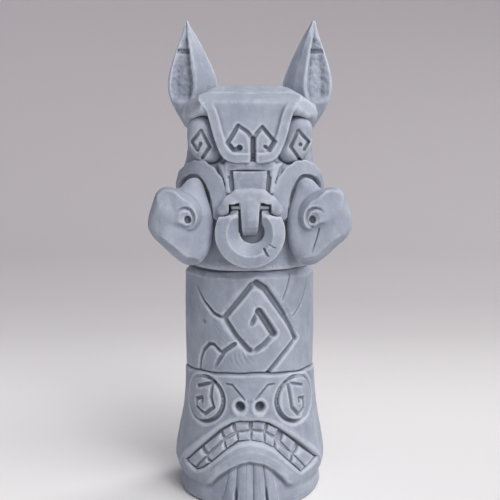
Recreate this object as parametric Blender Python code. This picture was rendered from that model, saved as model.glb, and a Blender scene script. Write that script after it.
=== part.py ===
"""A tiki totem figure, 300 mm tall: a scowling face block, a drum with a spiral glyph and a horned beast's
head, stacked on dowels, with pegged ears and tusks and a ring that swings from the beast's nose.

The figure stands on the plane z = 0 and faces -Y. Every length below is in millimetres, and becomes metres
where a mesh is made.
"""

import math

import bmesh
import bpy
from mathutils import Vector

MM = 0.001

# Driving dimensions
TOTAL_HEIGHT = 300.0
BODY_RADIUS = 41.0
LOWER_RADIUS = 45.0
GAP = 0.3

# Heights of the stack
LOWER_TOP = 82.9
DRUM_BOTTOM = LOWER_TOP + GAP
DRUM_SHOULDER = 143.6
DRUM_TOP = 148.7
HEAD_BOTTOM = DRUM_TOP + GAP
HEAD_TOP = 260.0

# Lower block: (height, radius at the side), from the foot to the seam
LOWER_PROFILE = [
    (0.0, 44.2),
    (2.5, 45.6),
    (6.5, 46.0),
    (10.0, 45.2),
    (12.0, 45.2),
    (16.5, 47.8),
    (21.5, 48.8),
    (28.5, 48.6),
    (36.0, 47.0),
    (46.0, 44.9),
    (56.0, 43.4),
    (66.0, 42.5),
    (75.0, 42.0),
    (81.0, 41.8),
    (LOWER_TOP, 41.0),
]
LOWER_STEPS = 60
CHIN_SWELL = 0.05
CHIN_SWELL_TOP = 60.0

# Mouth arch: height above the foot is crown - fall * angle^2, with the angle in degrees from the front
UPPER_LIP = (57.7, 0.0092)
BITE_LINE = (51.6, 0.0137)
LOWER_LIP = (45.7, 0.0165)
LIP_EDGE = (32.5, 0.0210)
MOUTH_DEPTH = 5.0
MOUTH_CLEARANCE = 0.8
TOOTH_GAP = 0.9
UPPER_TEETH_TOP = [0.0, 13.3, 24.5, 40.0, 60.0]
UPPER_TEETH_BITE = [0.0, 11.4, 20.5, 33.5, 47.0]
LOWER_TEETH_BITE = [0.0, 10.6, 19.5, 34.5, 46.5]
LOWER_TEETH_FOOT = [0.0, 10.9, 18.3, 30.0, 40.0]

# Lower face
LOWER_EYE_ANGLE = 43.5
LOWER_EYE_HEIGHT = 66.3
LOWER_EYE_RADII = (14.6, 12.8)
LOWER_EYE_GROOVE = 1.8
LOWER_EYE_GROOVE_DEPTH = 2.4
LOWER_EYE_SEAT = 6.6
EYE_STEPS = 28
NOSTRIL_X = 6.3
NOSTRIL_HEIGHT = 65.0
NOSTRIL_RADIUS = 3.3
BEARD_TOP_ANGLE = 17.0
BEARD_FOOT_ANGLE = 25.0
BEARD_FOOT = 0.6
BEARD_DEPTH = 3.0
BEARD_BULGE = 1.1
BEARD_ROWS = 5
BEARD_STRIPS = [-1.0, -0.48, -0.15, 0.13, 0.61, 1.0]

# Face grooves on one side, as (angle in degrees, height)
LIP_GROOVE = [(20.8, 23.4), (29.0, 15.2), (38.0, 12.6), (46.0, 14.4), (53.0, 18.6)]
FROWN_GROOVE = [(3.6, 69.0), (9.0, 73.0), (12.6, 78.3), (17.0, 79.4)]
EYE_SPIRAL = [(53, 73), (38, 75), (36.5, 66), (40, 58.5), (49, 60), (50.5, 66.5), (44.5, 67.5)]
FACE_GROOVE_WIDTH = 2.0
FACE_GROOVE_DEPTH = 1.6

# Head core: (height, half width, front depth, back depth, squareness of the section)
HEAD_SECTIONS = [
    (HEAD_BOTTOM, 38.6, 39.4, 38.6, 2.0),
    (153.0, 39.8, 42.0, 39.8, 2.2),
    (162.0, 40.2, 42.7, 40.2, 2.4),
    (176.0, 40.4, 42.7, 40.6, 2.5),
    (188.0, 41.4, 42.0, 41.0, 2.6),
    (200.0, 42.0, 40.6, 41.4, 2.7),
    (212.0, 41.4, 40.0, 41.4, 2.8),
    (222.0, 40.2, 39.6, 41.0, 2.9),
    (236.0, 40.4, 39.6, 40.4, 3.0),
    (246.0, 41.2, 40.0, 39.6, 3.0),
    (252.0, 40.4, 39.4, 38.6, 3.0),
    (256.5, 38.2, 37.0, 36.6, 3.0),
    (259.2, 35.0, 33.6, 33.6, 3.0),
    (HEAD_TOP, 31.0, 30.0, 30.0, 3.0),
]
HEAD_STEPS = 40

# Head pieces
UPPER_EYE_CENTRE = (28.5, -29.5, 226.5)
UPPER_EYE_RADII = (10.6, 9.2, 13.2)
SOCKET_CLEARANCE = GAP + 0.2
BROW_FRONT = -45.6
BROW_OUTLINE = [
    (28.0, 250.6),
    (25.6, 240.0),
    (22.4, 229.5),
    (19.2, 222.0),
    (16.4, 217.4),
    (12.5, 215.4),
]
BROW_HOOK = [(3.0, 229.6), (7.6, 236.4), (13.8, 227.0), (9.8, 221.6), (7.4, 223.6)]
BROW_GROOVE_WIDTH = 2.2
BROW_GROOVE_DEPTH = 2.6
CHEEK_PATH = [
    (41.2, -24.0, 192.0),
    (42.0, -26.5, 203.0),
    (38.2, -31.0, 210.2),
    (32.0, -36.2, 212.4),
    (25.8, -39.6, 208.6),
    (21.6, -41.2, 201.0),
    (20.6, -41.6, 192.0),
]
CHEEK_RADIUS = 4.6
TUSK_OUTLINE = [
    (30.0, 201.0),
    (25.6, 192.0),
    (23.6, 181.0),
    (23.0, 169.0),
    (26.4, 158.4),
    (35.0, 153.4),
    (44.6, 157.0),
    (53.6, 165.6),
    (60.4, 175.6),
    (59.8, 186.0),
    (54.0, 194.6),
    (45.0, 198.6),
    (37.0, 199.6),
]
TUSK_FRONT = -52.0
TUSK_BACK = -34.4
TUSK_BEVEL = 2.4
TUSK_EYE = (37.0, 180.6, 3.4)

# Nose, ring and the pin that the ring swings on
PIVOT = (0.0, -48.0, 188.3)
RING_CENTRE_HEIGHT = 172.8
RING_RADIUS = 21.0
RING_FACE_RADIUS = 13.6
RING_HOLE_RADIUS = 8.2
RING_HALF_THICKNESS = 3.5
RING_SLOT_HALF = 7.0
RING_STEPS = 44
PIN_RADIUS = 1.5
PIN_HALF_LENGTH = 11.0
SEPTUM_HALF_WIDTH = 6.2
NOSTRIL_REACH = (6.3, 24.0)
NOSTRIL_ROOM = 5.2
WING_RADIUS = 3.4
WING_PATH = [(1.5, -50.5, 199.0), (9.5, -50.4, 197.4), (14.5, -49.6, 194.6), (17.0, -48.4, 192.4)]

# Ears: (height, outer edge, ridge, inner edge, y of the ridge, y of the back)
EAR_SECTIONS = [
    (238.0, 44.0, 42.0, 38.0, -5.0, 3.0),
    (247.0, 48.0, 38.0, 24.0, -9.0, 6.5),
    (256.0, 51.2, 33.5, 20.0, -11.0, 8.0),
    (264.0, 51.0, 34.6, 20.8, -11.0, 8.0),
    (273.0, 48.6, 36.2, 24.6, -9.5, 7.0),
    (283.0, 45.4, 37.6, 29.4, -7.5, 5.4),
    (292.0, 42.8, 39.0, 34.2, -5.0, 3.4),
    (TOTAL_HEIGHT, 40.6, 40.2, 39.6, -0.6, 0.6),
]

# Glyph on the drum: strokes as (angle in degrees, height)
GLYPH_FRAME = [(-1.5, 106.0), (-23.8, 124.0), (5.0, 142.0), (30.5, 114.0), (17.5, 88.5)]
GLYPH_CORE = [(3.0, 104.6), (21.5, 113.8), (7.5, 127.0), (-1.0, 119.0)]
GLYPH_BRANCH = [(-12.0, 106.5), (-32.0, 87.0)]
GLYPH_ARCH = [(-48.5, 88.6), (-44.0, 102.0), (-36.5, 107.0), (-27.5, 99.0)]
GLYPH_WIDTH = 2.6
GLYPH_DEPTH = 2.2

DOWEL_RADIUS = 6.0
DOWEL_REACH = 17.0
SIDES = {"left": -1.0, "right": 1.0}


def clear_scene():
    for item in list(bpy.data.objects):
        bpy.data.objects.remove(item)


def make_material(name, colour, roughness, metallic=0.0):
    material = bpy.data.materials.new(name)
    material.use_nodes = True
    shader = material.node_tree.nodes["Principled BSDF"]
    shader.inputs["Base Color"].default_value = (*colour, 1.0)
    shader.inputs["Roughness"].default_value = roughness
    shader.inputs["Metallic"].default_value = metallic
    return material


def make_object(name, bm, material=None, origin=(0.0, 0.0, 0.0)):
    """Turns a bmesh in millimetres into an object in metres whose origin is at the given point."""
    bmesh.ops.translate(bm, verts=bm.verts, vec=-Vector(origin))
    bmesh.ops.scale(bm, verts=bm.verts, vec=(MM, MM, MM))
    bmesh.ops.recalc_face_normals(bm, faces=bm.faces)
    mesh = bpy.data.meshes.new(name)
    bm.to_mesh(mesh)
    bm.free()
    mesh.shade_smooth()
    mesh.set_sharp_from_angle(angle=math.radians(40))
    item = bpy.data.objects.new(name, mesh)
    bpy.context.scene.collection.objects.link(item)
    item.location = Vector(origin) * MM
    if material:
        mesh.materials.append(material)
    return item


def combine(target, tool, operation="DIFFERENCE"):
    """Cuts the tool from the target, or joins it to the target. The tool stays as a hidden guide."""
    tool.hide_render = True
    tool.display_type = "WIRE"
    modifier = target.modifiers.new(f"{operation} {tool.name}", "BOOLEAN")
    modifier.operation = operation
    modifier.solver = "EXACT"
    modifier.object = tool
    return target


def mirrored(points, side):
    return [(side * p[0], *p[1:]) for p in points]


def skin(rings, ladder=False, closed=False):
    """A closed solid through rings of points. An end is one flat face, or a ladder of four-sided faces."""
    bm = bmesh.new()
    loops = [[bm.verts.new(p) for p in ring] for ring in rings]
    count = len(loops[0])
    following = loops[1:] + loops[:1] if closed else loops[1:]
    for low, high in zip(loops, following):
        for i in range(count):
            j = (i + 1) % count
            bm.faces.new((low[i], low[j], high[j], high[i]))
    if closed:
        return bm
    for loop in (loops[0], loops[-1]):
        if ladder:
            for i in range(count // 2 - 1):
                bm.faces.new((loop[i], loop[i + 1], loop[count - 2 - i], loop[count - 1 - i]))
        else:
            bm.faces.new(loop)
    return bm


def ellipsoid(centre, radii, segments=20, rings=12):
    bm = bmesh.new()
    bmesh.ops.create_uvsphere(bm, u_segments=segments, v_segments=rings, radius=1.0)
    bmesh.ops.scale(bm, verts=bm.verts, vec=radii)
    bmesh.ops.translate(bm, verts=bm.verts, vec=centre)
    return bm


def rod(start, end, radius, segments=20):
    """A round bar between two points."""
    start, end = Vector(start), Vector(end)
    turn = (end - start).to_track_quat("Z", "Y").to_matrix().to_4x4()
    turn.translation = (start + end) / 2
    bm = bmesh.new()
    bmesh.ops.create_cone(
        bm,
        cap_ends=True,
        segments=segments,
        radius1=radius,
        radius2=radius,
        depth=(end - start).length,
        matrix=turn,
    )
    return bm


def longer(start, end, extra):
    """The same line, with each end moved out by extra."""
    start, end = Vector(start), Vector(end)
    step = (end - start).normalized() * extra
    return start - step, end + step


def catmull(points, steps, closed=False):
    """Points of a smooth curve through the given ones, with steps points for each span."""
    points = [Vector(p) for p in points]
    count = len(points)
    spans = count if closed else count - 1
    found = []
    for i in range(spans):
        if closed:
            a, b, c, d = (points[(i + k) % count] for k in (-1, 0, 1, 2))
        else:
            b, c = points[i], points[i + 1]
            a = points[i - 1] if i else b * 2 - c
            d = points[i + 2] if i + 2 < count else c * 2 - b
        for k in range(steps):
            t = k / steps
            curve = b * 2 + (c - a) * t
            curve += (a * 2 - b * 5 + c * 4 - d) * t**2
            curve += (b * 3 - a - c * 3 + d) * t**3
            found.append(curve / 2)
    if not closed:
        found.append(points[-1])
    return found


def tube(path, radius, steps=2, sides=10, taper=0.75):
    """A round band along a smooth path, a little thinner at both ends."""
    line = catmull(path, steps)
    rings = []
    for i, point in enumerate(line):
        ahead = line[min(i + 1, len(line) - 1)] - line[max(i - 1, 0)]
        across = ahead.cross(Vector((0, 1, 0))).normalized()
        out = across.cross(ahead).normalized()
        share = abs(2 * i / (len(line) - 1) - 1)
        size = radius * (1 - (1 - taper) * share**3)
        turns = [2 * math.pi * k / sides for k in range(sides)]
        rings.append([point + (across * math.cos(a) + out * math.sin(a)) * size for a in turns])
    return skin(rings)


def offset_outline(points, amount):
    """A closed (x, z) outline moved outwards by amount, with mitred corners."""
    area = sum(a[0] * b[1] - b[0] * a[1] for a, b in zip(points, points[1:] + points[:1]))
    sign = 1.0 if area > 0 else -1.0
    moved = []
    for i, point in enumerate(points):
        before = Vector(point) - Vector(points[i - 1])
        after = Vector(points[(i + 1) % len(points)]) - Vector(point)
        first = Vector((before.y, -before.x)).normalized() * sign
        second = Vector((after.y, -after.x)).normalized() * sign
        middle = (first + second).normalized()
        reach = amount / max(middle.dot(first), 0.5)
        moved.append(Vector(point) + middle * reach)
    return moved


def slab(outline, front, back, bevel):
    """An (x, z) outline given depth along y, with bevelled front and back edges."""
    layers = [(front, -bevel), (front + bevel, 0.0), (back - bevel, 0.0), (back, -bevel)]
    rings = []
    for y, inset in layers:
        rings.append([(p[0], y, p[1]) for p in offset_outline(outline, inset)])
    return skin(rings)


def arch(line, angle):
    crown, fall = line
    return crown - fall * angle * angle


def lower_radius(angle, height):
    """Radius of the lower block at an angle from the front, in degrees, with the chin's swell."""
    for (z0, r0), (z1, r1) in zip(LOWER_PROFILE, LOWER_PROFILE[1:]):
        if height <= z1:
            break
    radius = r0 + (r1 - r0) * (height - z0) / (z1 - z0)
    facing = max(0.0, math.cos(math.radians(angle)))
    fade = min(1.0, max(0.0, (CHIN_SWELL_TOP - height) / (CHIN_SWELL_TOP / 2)))
    return radius * (1 + CHIN_SWELL * facing**2 * fade)


def on_lower(angle, height, depth):
    """The point that lies depth under the lower block's surface."""
    radius = lower_radius(angle, height) - depth
    turn = math.radians(angle)
    return (radius * math.sin(turn), -radius * math.cos(turn), height)


def on_drum(angle, height, radius):
    turn = math.radians(angle)
    return (radius * math.sin(turn), -radius * math.cos(turn), height)


def groove(points, width, depth, place, steps=3):
    """A cutter that follows strokes of flat (x, z) points, which place puts on a surface at a given depth."""
    flat = [Vector(p) for p in points]
    line = []
    for start, end in zip(flat, flat[1:]):
        line += [start.lerp(end, k / steps) for k in range(steps)]
    line.append(flat[-1])
    rings = []
    for i, point in enumerate(line):
        before = (point - line[i - 1]).normalized() if i else (line[1] - line[0]).normalized()
        after = (line[i + 1] - point).normalized() if i + 1 < len(line) else before
        across = (before + after).normalized()
        across = Vector((-across.y, across.x))
        reach = width / 2 / max(across.dot(Vector((-before.y, before.x))), 0.5)
        left, right = point + across * reach, point - across * reach
        ring = [(left, -2.0), (right, -2.0), (right, depth), (left, depth)]
        rings.append([place(p.x, p.y, level) for p, level in ring])
    return skin(rings)


def arc_length(points, radius):
    """Strokes of (angle, height) unrolled into flat (x, z) points."""
    return [(math.radians(a) * radius, z) for a, z in points]


def place_on_lower(x, z, depth):
    return on_lower(math.degrees(x / LOWER_RADIUS), z, depth)


def place_on_drum(x, z, depth):
    return on_drum(math.degrees(x / BODY_RADIUS), z, BODY_RADIUS - depth)


def place_on_brow(x, z, depth):
    return (x, BROW_FRONT + depth, z)


def lower_block(stone):
    angles = [360 * k / LOWER_STEPS for k in range(LOWER_STEPS)]
    rings = [[on_lower(a if a < 180 else a - 360, z, 0) for a in angles] for z, _ in LOWER_PROFILE]
    block = make_object("lower_block", skin(rings), stone)
    mouth = []
    columns = 28
    for k in range(columns + 1):
        t = 2 * k / columns - 1
        top, foot = UPPER_TEETH_TOP[-1] * t, LOWER_TEETH_FOOT[-1] * t
        upper, lower = arch(UPPER_LIP, top) + GAP, arch(LOWER_LIP, foot) - GAP
        back = MOUTH_DEPTH + MOUTH_CLEARANCE
        corners = [(top, upper, -4), (foot, lower, -4), (foot, lower, back), (top, upper, back)]
        mouth.append([on_lower(*corner) for corner in corners])
    combine(block, make_object("mouth_cutter", skin(mouth)))
    for side, sign in SIDES.items():
        combine(block, make_object(f"{side}_eye_groove", eye_groove(sign)))
        combine(block, make_object(f"{side}_eye_pocket", eye_pocket(sign)))
        centre = sign * NOSTRIL_X
        nostril = rod((centre, -34, NOSTRIL_HEIGHT), (centre, -52, NOSTRIL_HEIGHT), NOSTRIL_RADIUS, 14)
        combine(block, make_object(f"{side}_nostril_cutter", nostril))
    combine(block, make_object("beard_pocket", beard_solid(GAP, -4)))
    for label, points in (("lip", LIP_GROOVE), ("frown", FROWN_GROOVE)):
        for side, sign in SIDES.items():
            flat = arc_length(mirrored(points, sign), LOWER_RADIUS)
            cutter = groove(flat, FACE_GROOVE_WIDTH, FACE_GROOVE_DEPTH, place_on_lower, 2)
            combine(block, make_object(f"{side}_{label}_groove", cutter))
    return block


def eye_ring(side, grow, level, share=1.0, flat=False):
    """One ring of the lower eye. A flat ring lies in a plane, and the others follow the block's surface."""
    turn = math.radians(side * LOWER_EYE_ANGLE)
    across = Vector((math.cos(turn), math.sin(turn), 0.0))
    outward = Vector((math.sin(turn), -math.cos(turn), 0.0))
    centre = Vector(on_lower(side * LOWER_EYE_ANGLE, LOWER_EYE_HEIGHT, 0.0))
    width, height = ((r + grow) * share for r in LOWER_EYE_RADII)
    ring = []
    for k in range(EYE_STEPS):
        spin = 2 * math.pi * k / EYE_STEPS
        x, z = width * math.cos(spin), height * math.sin(spin)
        if flat:
            ring.append(centre + across * x + Vector((0, 0, z)) - outward * level)
        else:
            sideways = math.degrees(math.asin(x / lower_radius(60, LOWER_EYE_HEIGHT)))
            ring.append(on_lower(side * LOWER_EYE_ANGLE + sideways, LOWER_EYE_HEIGHT + z, level))
    return ring


def eye_pocket(side):
    return skin([eye_ring(side, GAP, LOWER_EYE_SEAT + GAP, flat=True), eye_ring(side, GAP, -8.0, flat=True)])


def eye_groove(side):
    outer = eye_ring(side, LOWER_EYE_GROOVE, LOWER_EYE_GROOVE_DEPTH)
    inner = eye_ring(side, 0.0, LOWER_EYE_GROOVE_DEPTH, 0.6)
    return skin([eye_ring(side, LOWER_EYE_GROOVE, -8.0, flat=True), outer, inner])


def lower_eye(name, side, stone):
    """An inlaid disc with a flat back and a domed front."""
    rings = [eye_ring(side, 0.0, LOWER_EYE_SEAT, flat=True)]
    for share, level in ((1.0, 0.9), (0.86, -0.3), (0.5, -0.9)):
        rings.append(eye_ring(side, 0.0, level, share))
    eye = make_object(name, skin(rings), stone)
    flat = arc_length(mirrored(EYE_SPIRAL, side), LOWER_RADIUS)
    cutter = groove(flat, FACE_GROOVE_WIDTH, FACE_GROOVE_DEPTH, place_on_lower, 1)
    return combine(eye, make_object(f"{name}_spiral_cutter", cutter))


def beard_solid(grow, front, ribbed=False):
    """The chin's hanging strips, wrapped on the block. Ribbed gives each strip its own rounded front."""
    columns = 20
    back = BEARD_DEPTH + grow
    rings = []
    for k in range(columns + 1):
        t = 2 * k / columns - 1
        bulge = 0.0
        if ribbed:
            for start, end in zip(BEARD_STRIPS, BEARD_STRIPS[1:]):
                if start <= t <= end:
                    bulge = BEARD_BULGE * math.sin(math.pi * (t - start) / (end - start)) ** 0.5
        high = arch(LIP_EDGE, BEARD_TOP_ANGLE * t) - 1.0
        wall = []
        for row in range(BEARD_ROWS + 1):
            share = row / BEARD_ROWS
            angle = (BEARD_TOP_ANGLE + (BEARD_FOOT_ANGLE - BEARD_TOP_ANGLE) * share + 1.6 * grow) * t
            wall.append((angle, high + (BEARD_FOOT - high) * share))
        if grow:
            wall.insert(0, (wall[0][0], high + grow))
            wall.append((wall[-1][0], -1.0))
        ring = [on_lower(angle, z, front - bulge) for angle, z in wall]
        ring += [on_lower(angle, z, back) for angle, z in reversed(wall)]
        rings.append(ring)
    return skin(rings, ladder=True)


def teeth(stone):
    rows = {
        "upper_tooth": (UPPER_LIP, UPPER_TEETH_TOP, BITE_LINE, UPPER_TEETH_BITE),
        "lower_tooth": (BITE_LINE, LOWER_TEETH_BITE, LOWER_LIP, LOWER_TEETH_FOOT),
    }
    for row, (top_line, tops, foot_line, feet) in rows.items():
        number = 0
        for sign in (-1, 1):
            order = range(3, -1, -1) if sign < 0 else range(4)
            for i in order:
                number += 1
                top = edge_points(top_line, sign * tops[i], sign * tops[i + 1])
                foot = edge_points(foot_line, sign * feet[i + 1], sign * feet[i])
                tooth(f"{row}_{number}", top + foot, stone)


def edge_points(line, start, end):
    """Four points along one side of a tooth, which follows the mouth's arch."""
    angles = [start + (end - start) * k / 3 for k in range(4)]
    return [(angle, arch(line, angle)) for angle in angles]


def tooth(name, corners, stone):
    """A peg tooth set in the mouth pocket, with a crowned front and softened edges."""
    scale = math.radians(1) * LOWER_PROFILE[6][1]
    outline = [Vector((a * scale, z)) for a, z in corners]
    levels = [(MOUTH_DEPTH, 0.0), (1.4, 0.0), (0.4, -0.7), (0.0, -1.6)]
    rings = []
    for depth, inset in levels:
        moved = offset_outline(outline, inset - TOOTH_GAP / 2)
        rings.append([on_lower(p.x / scale, p.y, depth) for p in moved])
    return make_object(name, skin(rings), stone)


def middle_drum(stone):
    profile = [
        (DRUM_BOTTOM, BODY_RADIUS - 0.5),
        (DRUM_BOTTOM + 1.5, BODY_RADIUS),
        (DRUM_BOTTOM + 28.0, BODY_RADIUS + 0.3),
        (DRUM_SHOULDER, BODY_RADIUS),
        (DRUM_TOP, BODY_RADIUS - 2.4),
    ]
    steps = 64
    angles = [360 * k / steps for k in range(steps)]
    rings = [[on_drum(a, z, r) for a in angles] for z, r in profile]
    drum = make_object("middle_drum", skin(rings), stone)
    strokes = {"frame": GLYPH_FRAME, "core": GLYPH_CORE, "branch": GLYPH_BRANCH, "arch": GLYPH_ARCH}
    for label, points in strokes.items():
        cutter = groove(arc_length(points, BODY_RADIUS), GLYPH_WIDTH, GLYPH_DEPTH, place_on_drum)
        combine(drum, make_object(f"glyph_{label}_cutter", cutter))
    return drum


def head_core(grow=0.0):
    rings = []
    for z, wide, front, back, squareness in HEAD_SECTIONS:
        ring = []
        for k in range(HEAD_STEPS):
            turn = 2 * math.pi * k / HEAD_STEPS
            c, s = math.cos(turn), math.sin(turn)
            deep = front if s < 0 else back
            x = math.copysign(abs(c) ** (2 / squareness), c) * (wide + grow)
            y = math.copysign(abs(s) ** (2 / squareness), s) * (deep + grow)
            ring.append((x, y, z + (grow if z == HEAD_TOP else 0)))
        rings.append(ring)
    return skin(rings)


def ear_solid(side):
    rings = []
    for z, outer, ridge, inner, front, back in EAR_SECTIONS:
        hollow = front + (back - front) * 0.42
        ring = [
            (outer, front * 0.25),
            (outer * 0.62 + ridge * 0.38, hollow),
            (outer * 0.25 + ridge * 0.75, hollow * 0.8 + front * 0.2),
            (ridge, front),
            ((ridge + inner) / 2, front * 0.62),
            (inner, front * 0.1),
            (inner * 0.75 + outer * 0.25, back * 0.7),
            ((inner + outer) / 2, back),
            (inner * 0.2 + outer * 0.8, back * 0.7),
        ]
        rings.append([(side * x, y, z) for x, y in ring])
    return skin(rings)


def brow_plate(stone):
    left = [(-x, z) for x, z in BROW_OUTLINE]
    outline = BROW_OUTLINE + left[::-1]
    plate = make_object("brow_plate", slab(outline, BROW_FRONT, -34.0, 0.9), stone)
    slit = slab([(1.2, 229.0), (3.2, 229.0), (3.6, 212.0), (0.8, 212.0)], -50.0, -42.0, 0.1)
    combine(plate, make_object("brow_slit_cutter", slit))
    for side, sign in SIDES.items():
        cutter = groove(mirrored(BROW_HOOK, sign), BROW_GROOVE_WIDTH, BROW_GROOVE_DEPTH, place_on_brow, 1)
        combine(plate, make_object(f"{side}_brow_hook_cutter", cutter))
    return plate


def pin_rod(extra, radius):
    """A rod on the ring's axis, longer than the pin by extra at each end."""
    reach = PIN_HALF_LENGTH + extra
    return rod((-reach, *PIVOT[1:]), (reach, *PIVOT[1:]), radius, 16)


def nose_ring(material):
    """A dished ring with a slot at the top, so that the nose's septum passes between its two ends."""
    y = PIVOT[1]
    front, back = y - RING_HALF_THICKNESS, y + RING_HALF_THICKNESS
    section = [
        (RING_RADIUS - 1.6, front),
        (RING_RADIUS, front + 1.6),
        (RING_RADIUS, back - 1.6),
        (RING_RADIUS - 1.6, back),
        (RING_HOLE_RADIUS + 0.8, back),
        (RING_HOLE_RADIUS, back - 1.2),
        (RING_FACE_RADIUS, front),
    ]
    rings = []
    for k in range(RING_STEPS):
        turn = 2 * math.pi * k / RING_STEPS
        x, z = math.sin(turn), math.cos(turn)
        rings.append([(x * r, depth, RING_CENTRE_HEIGHT + z * r) for r, depth in section])
    ring = make_object("nose_ring", skin(rings, closed=True), material, PIVOT)
    top = RING_CENTRE_HEIGHT + RING_RADIUS + 2
    corners = [
        (RING_SLOT_HALF, RING_CENTRE_HEIGHT),
        (RING_SLOT_HALF, top),
        (-RING_SLOT_HALF, top),
        (-RING_SLOT_HALF, RING_CENTRE_HEIGHT),
    ]
    combine(ring, make_object("ring_slot_cutter", slab(corners, front - 2, back + 2, 0.1)))
    combine(ring, make_object("ring_bore_cutter", pin_rod(GAP, PIN_RADIUS + GAP)))
    return ring


def snout(stone, core):
    """The nose: a domed bridge, two nostril wings and the septum that carries the ring."""
    body = make_object("snout", ellipsoid((0.0, -42.0, 193.0), (14.2, 10.0, 8.6)), stone)
    for side, sign in SIDES.items():
        wing = make_object(f"{side}_wing", tube(mirrored(WING_PATH, sign), WING_RADIUS, sides=8))
        combine(body, wing, "UNION")
    septum = []
    for z, half, y, deep in (
        (199.5, 4.2, -48.0, 4.5),
        (196.0, SEPTUM_HALF_WIDTH, -50.0, 6.0),
        (186.0, SEPTUM_HALF_WIDTH - 0.2, -50.6, 5.4),
        (177.5, SEPTUM_HALF_WIDTH - 0.8, -49.6, 5.0),
        (173.6, SEPTUM_HALF_WIDTH - 2.4, -47.6, 4.0),
    ):
        turns = [2 * math.pi * k / 12 for k in range(12)]
        septum.append([(half * math.cos(a), y + deep * math.sin(a), z) for a in turns])
    combine(body, make_object("septum", skin(septum)), "UNION")
    for side, sign in SIDES.items():
        near, far = (sign * x for x in NOSTRIL_REACH)
        nostril = rod((near, *PIVOT[1:]), (far, *PIVOT[1:]), NOSTRIL_ROOM)
        combine(body, make_object(f"{side}_nose_opening", nostril))
    combine(body, make_object("pin_bore_cutter", pin_rod(1.0, PIN_RADIUS + GAP)))
    combine(body, core)
    return body


def peg(name, start, end, radius, material, hosts):
    """A round peg and its bore in each host."""
    pin = make_object(name, rod(start, end, radius, 16), material)
    bore = make_object(f"{name}_bore", rod(*longer(start, end, GAP), radius + GAP, 16))
    for host in hosts:
        combine(host, bore)
    return pin


def main():
    clear_scene()
    stone = make_material("carved_stone", (0.46, 0.50, 0.57), 0.62)
    inlay = make_material("inlaid_stone", (0.47, 0.51, 0.58), 0.58)
    steel = make_material("pin_steel", (0.60, 0.60, 0.62), 0.35, 1.0)

    lower = lower_block(stone)
    teeth(inlay)
    make_object("beard", beard_solid(0.0, 0.0, ribbed=True), stone)
    for side, sign in SIDES.items():
        lower_eye(f"{side}_lower_eye", sign, inlay)
    drum = middle_drum(stone)
    head = make_object("upper_block", head_core(), stone)
    core_tool = make_object("core_cutter", head_core(GAP))
    seams = {"lower_dowel": (DRUM_BOTTOM, [lower, drum]), "upper_dowel": (HEAD_BOTTOM, [drum, head])}
    for name, (seam, hosts) in seams.items():
        peg(name, (0, 0, seam - DOWEL_REACH), (0, 0, seam + DOWEL_REACH), DOWEL_RADIUS, steel, hosts)

    plate = combine(brow_plate(stone), core_tool)
    peg("brow_plate_peg", (0, -32.0, 240.0), (0, -43.0, 240.0), 2.5, steel, [head, plate])
    nose = snout(stone, core_tool)
    peg("snout_peg", (0, -32.0, 194.5), (0, -44.0, 194.5), 2.2, steel, [head, nose])
    nose_ring(stone)
    make_object("ring_pin", pin_rod(0.0, PIN_RADIUS), steel)

    for side, sign in SIDES.items():
        centre = (sign * UPPER_EYE_CENTRE[0], *UPPER_EYE_CENTRE[1:])
        make_object(f"{side}_upper_eye", ellipsoid(centre, UPPER_EYE_RADII), inlay)
        wider = [r + SOCKET_CLEARANCE for r in UPPER_EYE_RADII]
        socket = make_object(f"{side}_socket_cutter", ellipsoid(centre, wider))
        combine(head, socket)

        cheek = make_object(f"{side}_cheek_band", tube(mirrored(CHEEK_PATH, sign), CHEEK_RADIUS), stone)
        combine(cheek, core_tool)
        combine(cheek, socket)

        outline = catmull(mirrored(TUSK_OUTLINE, sign), 2, closed=True)
        tusk = make_object(f"{side}_tusk", slab(outline, TUSK_FRONT, TUSK_BACK, TUSK_BEVEL), stone)
        combine(tusk, core_tool)
        x, z, radius = TUSK_EYE
        volute = rod((sign * x, -60, z), (sign * x, -30, z), radius, 16)
        combine(tusk, make_object(f"{side}_volute_cutter", volute))
        start, end = (sign * 30.0, -26.0, 170.0), (sign * 30.0, -45.0, 170.0)
        peg(f"{side}_tusk_peg", start, end, 3.0, steel, [head, tusk])

        ear = combine(make_object(f"{side}_ear", ear_solid(sign), stone), core_tool)
        start, end = (sign * 33.5, -1.0, 244.0), (sign * 36.0, -1.0, 268.0)
        peg(f"{side}_ear_peg", start, end, 2.5, steel, [head, ear])


main()
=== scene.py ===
import math

import bpy
import numpy as np
import openvdb as vdb
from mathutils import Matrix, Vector


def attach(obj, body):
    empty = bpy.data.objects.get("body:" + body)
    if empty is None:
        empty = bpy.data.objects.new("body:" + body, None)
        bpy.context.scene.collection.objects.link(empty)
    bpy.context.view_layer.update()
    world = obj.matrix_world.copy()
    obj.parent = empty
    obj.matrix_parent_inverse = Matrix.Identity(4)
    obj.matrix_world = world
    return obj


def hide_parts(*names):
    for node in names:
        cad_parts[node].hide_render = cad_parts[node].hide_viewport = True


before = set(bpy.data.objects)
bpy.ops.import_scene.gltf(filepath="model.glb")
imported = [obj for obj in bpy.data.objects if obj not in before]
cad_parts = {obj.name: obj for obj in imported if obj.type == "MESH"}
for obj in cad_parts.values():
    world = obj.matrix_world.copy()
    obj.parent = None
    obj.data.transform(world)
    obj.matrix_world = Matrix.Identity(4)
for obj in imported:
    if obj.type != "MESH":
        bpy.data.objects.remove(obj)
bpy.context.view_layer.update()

# All the sculpting below is in millimetres. The figure faces -Y, and an angle is counted from the front.
MM = 0.001
BODY = "figure"
RING = "ring"
STONE = "carved_stone"
INLAY = "inlaid_stone"
STEEL = "pin_steel"

# CAMERA
LOOK_AT = Vector((0.0, 0.0, 0.1557))
CAMERA_DISTANCE = 0.614
CAMERA_PITCH = math.radians(8.3)
LENS = 68.4


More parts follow.
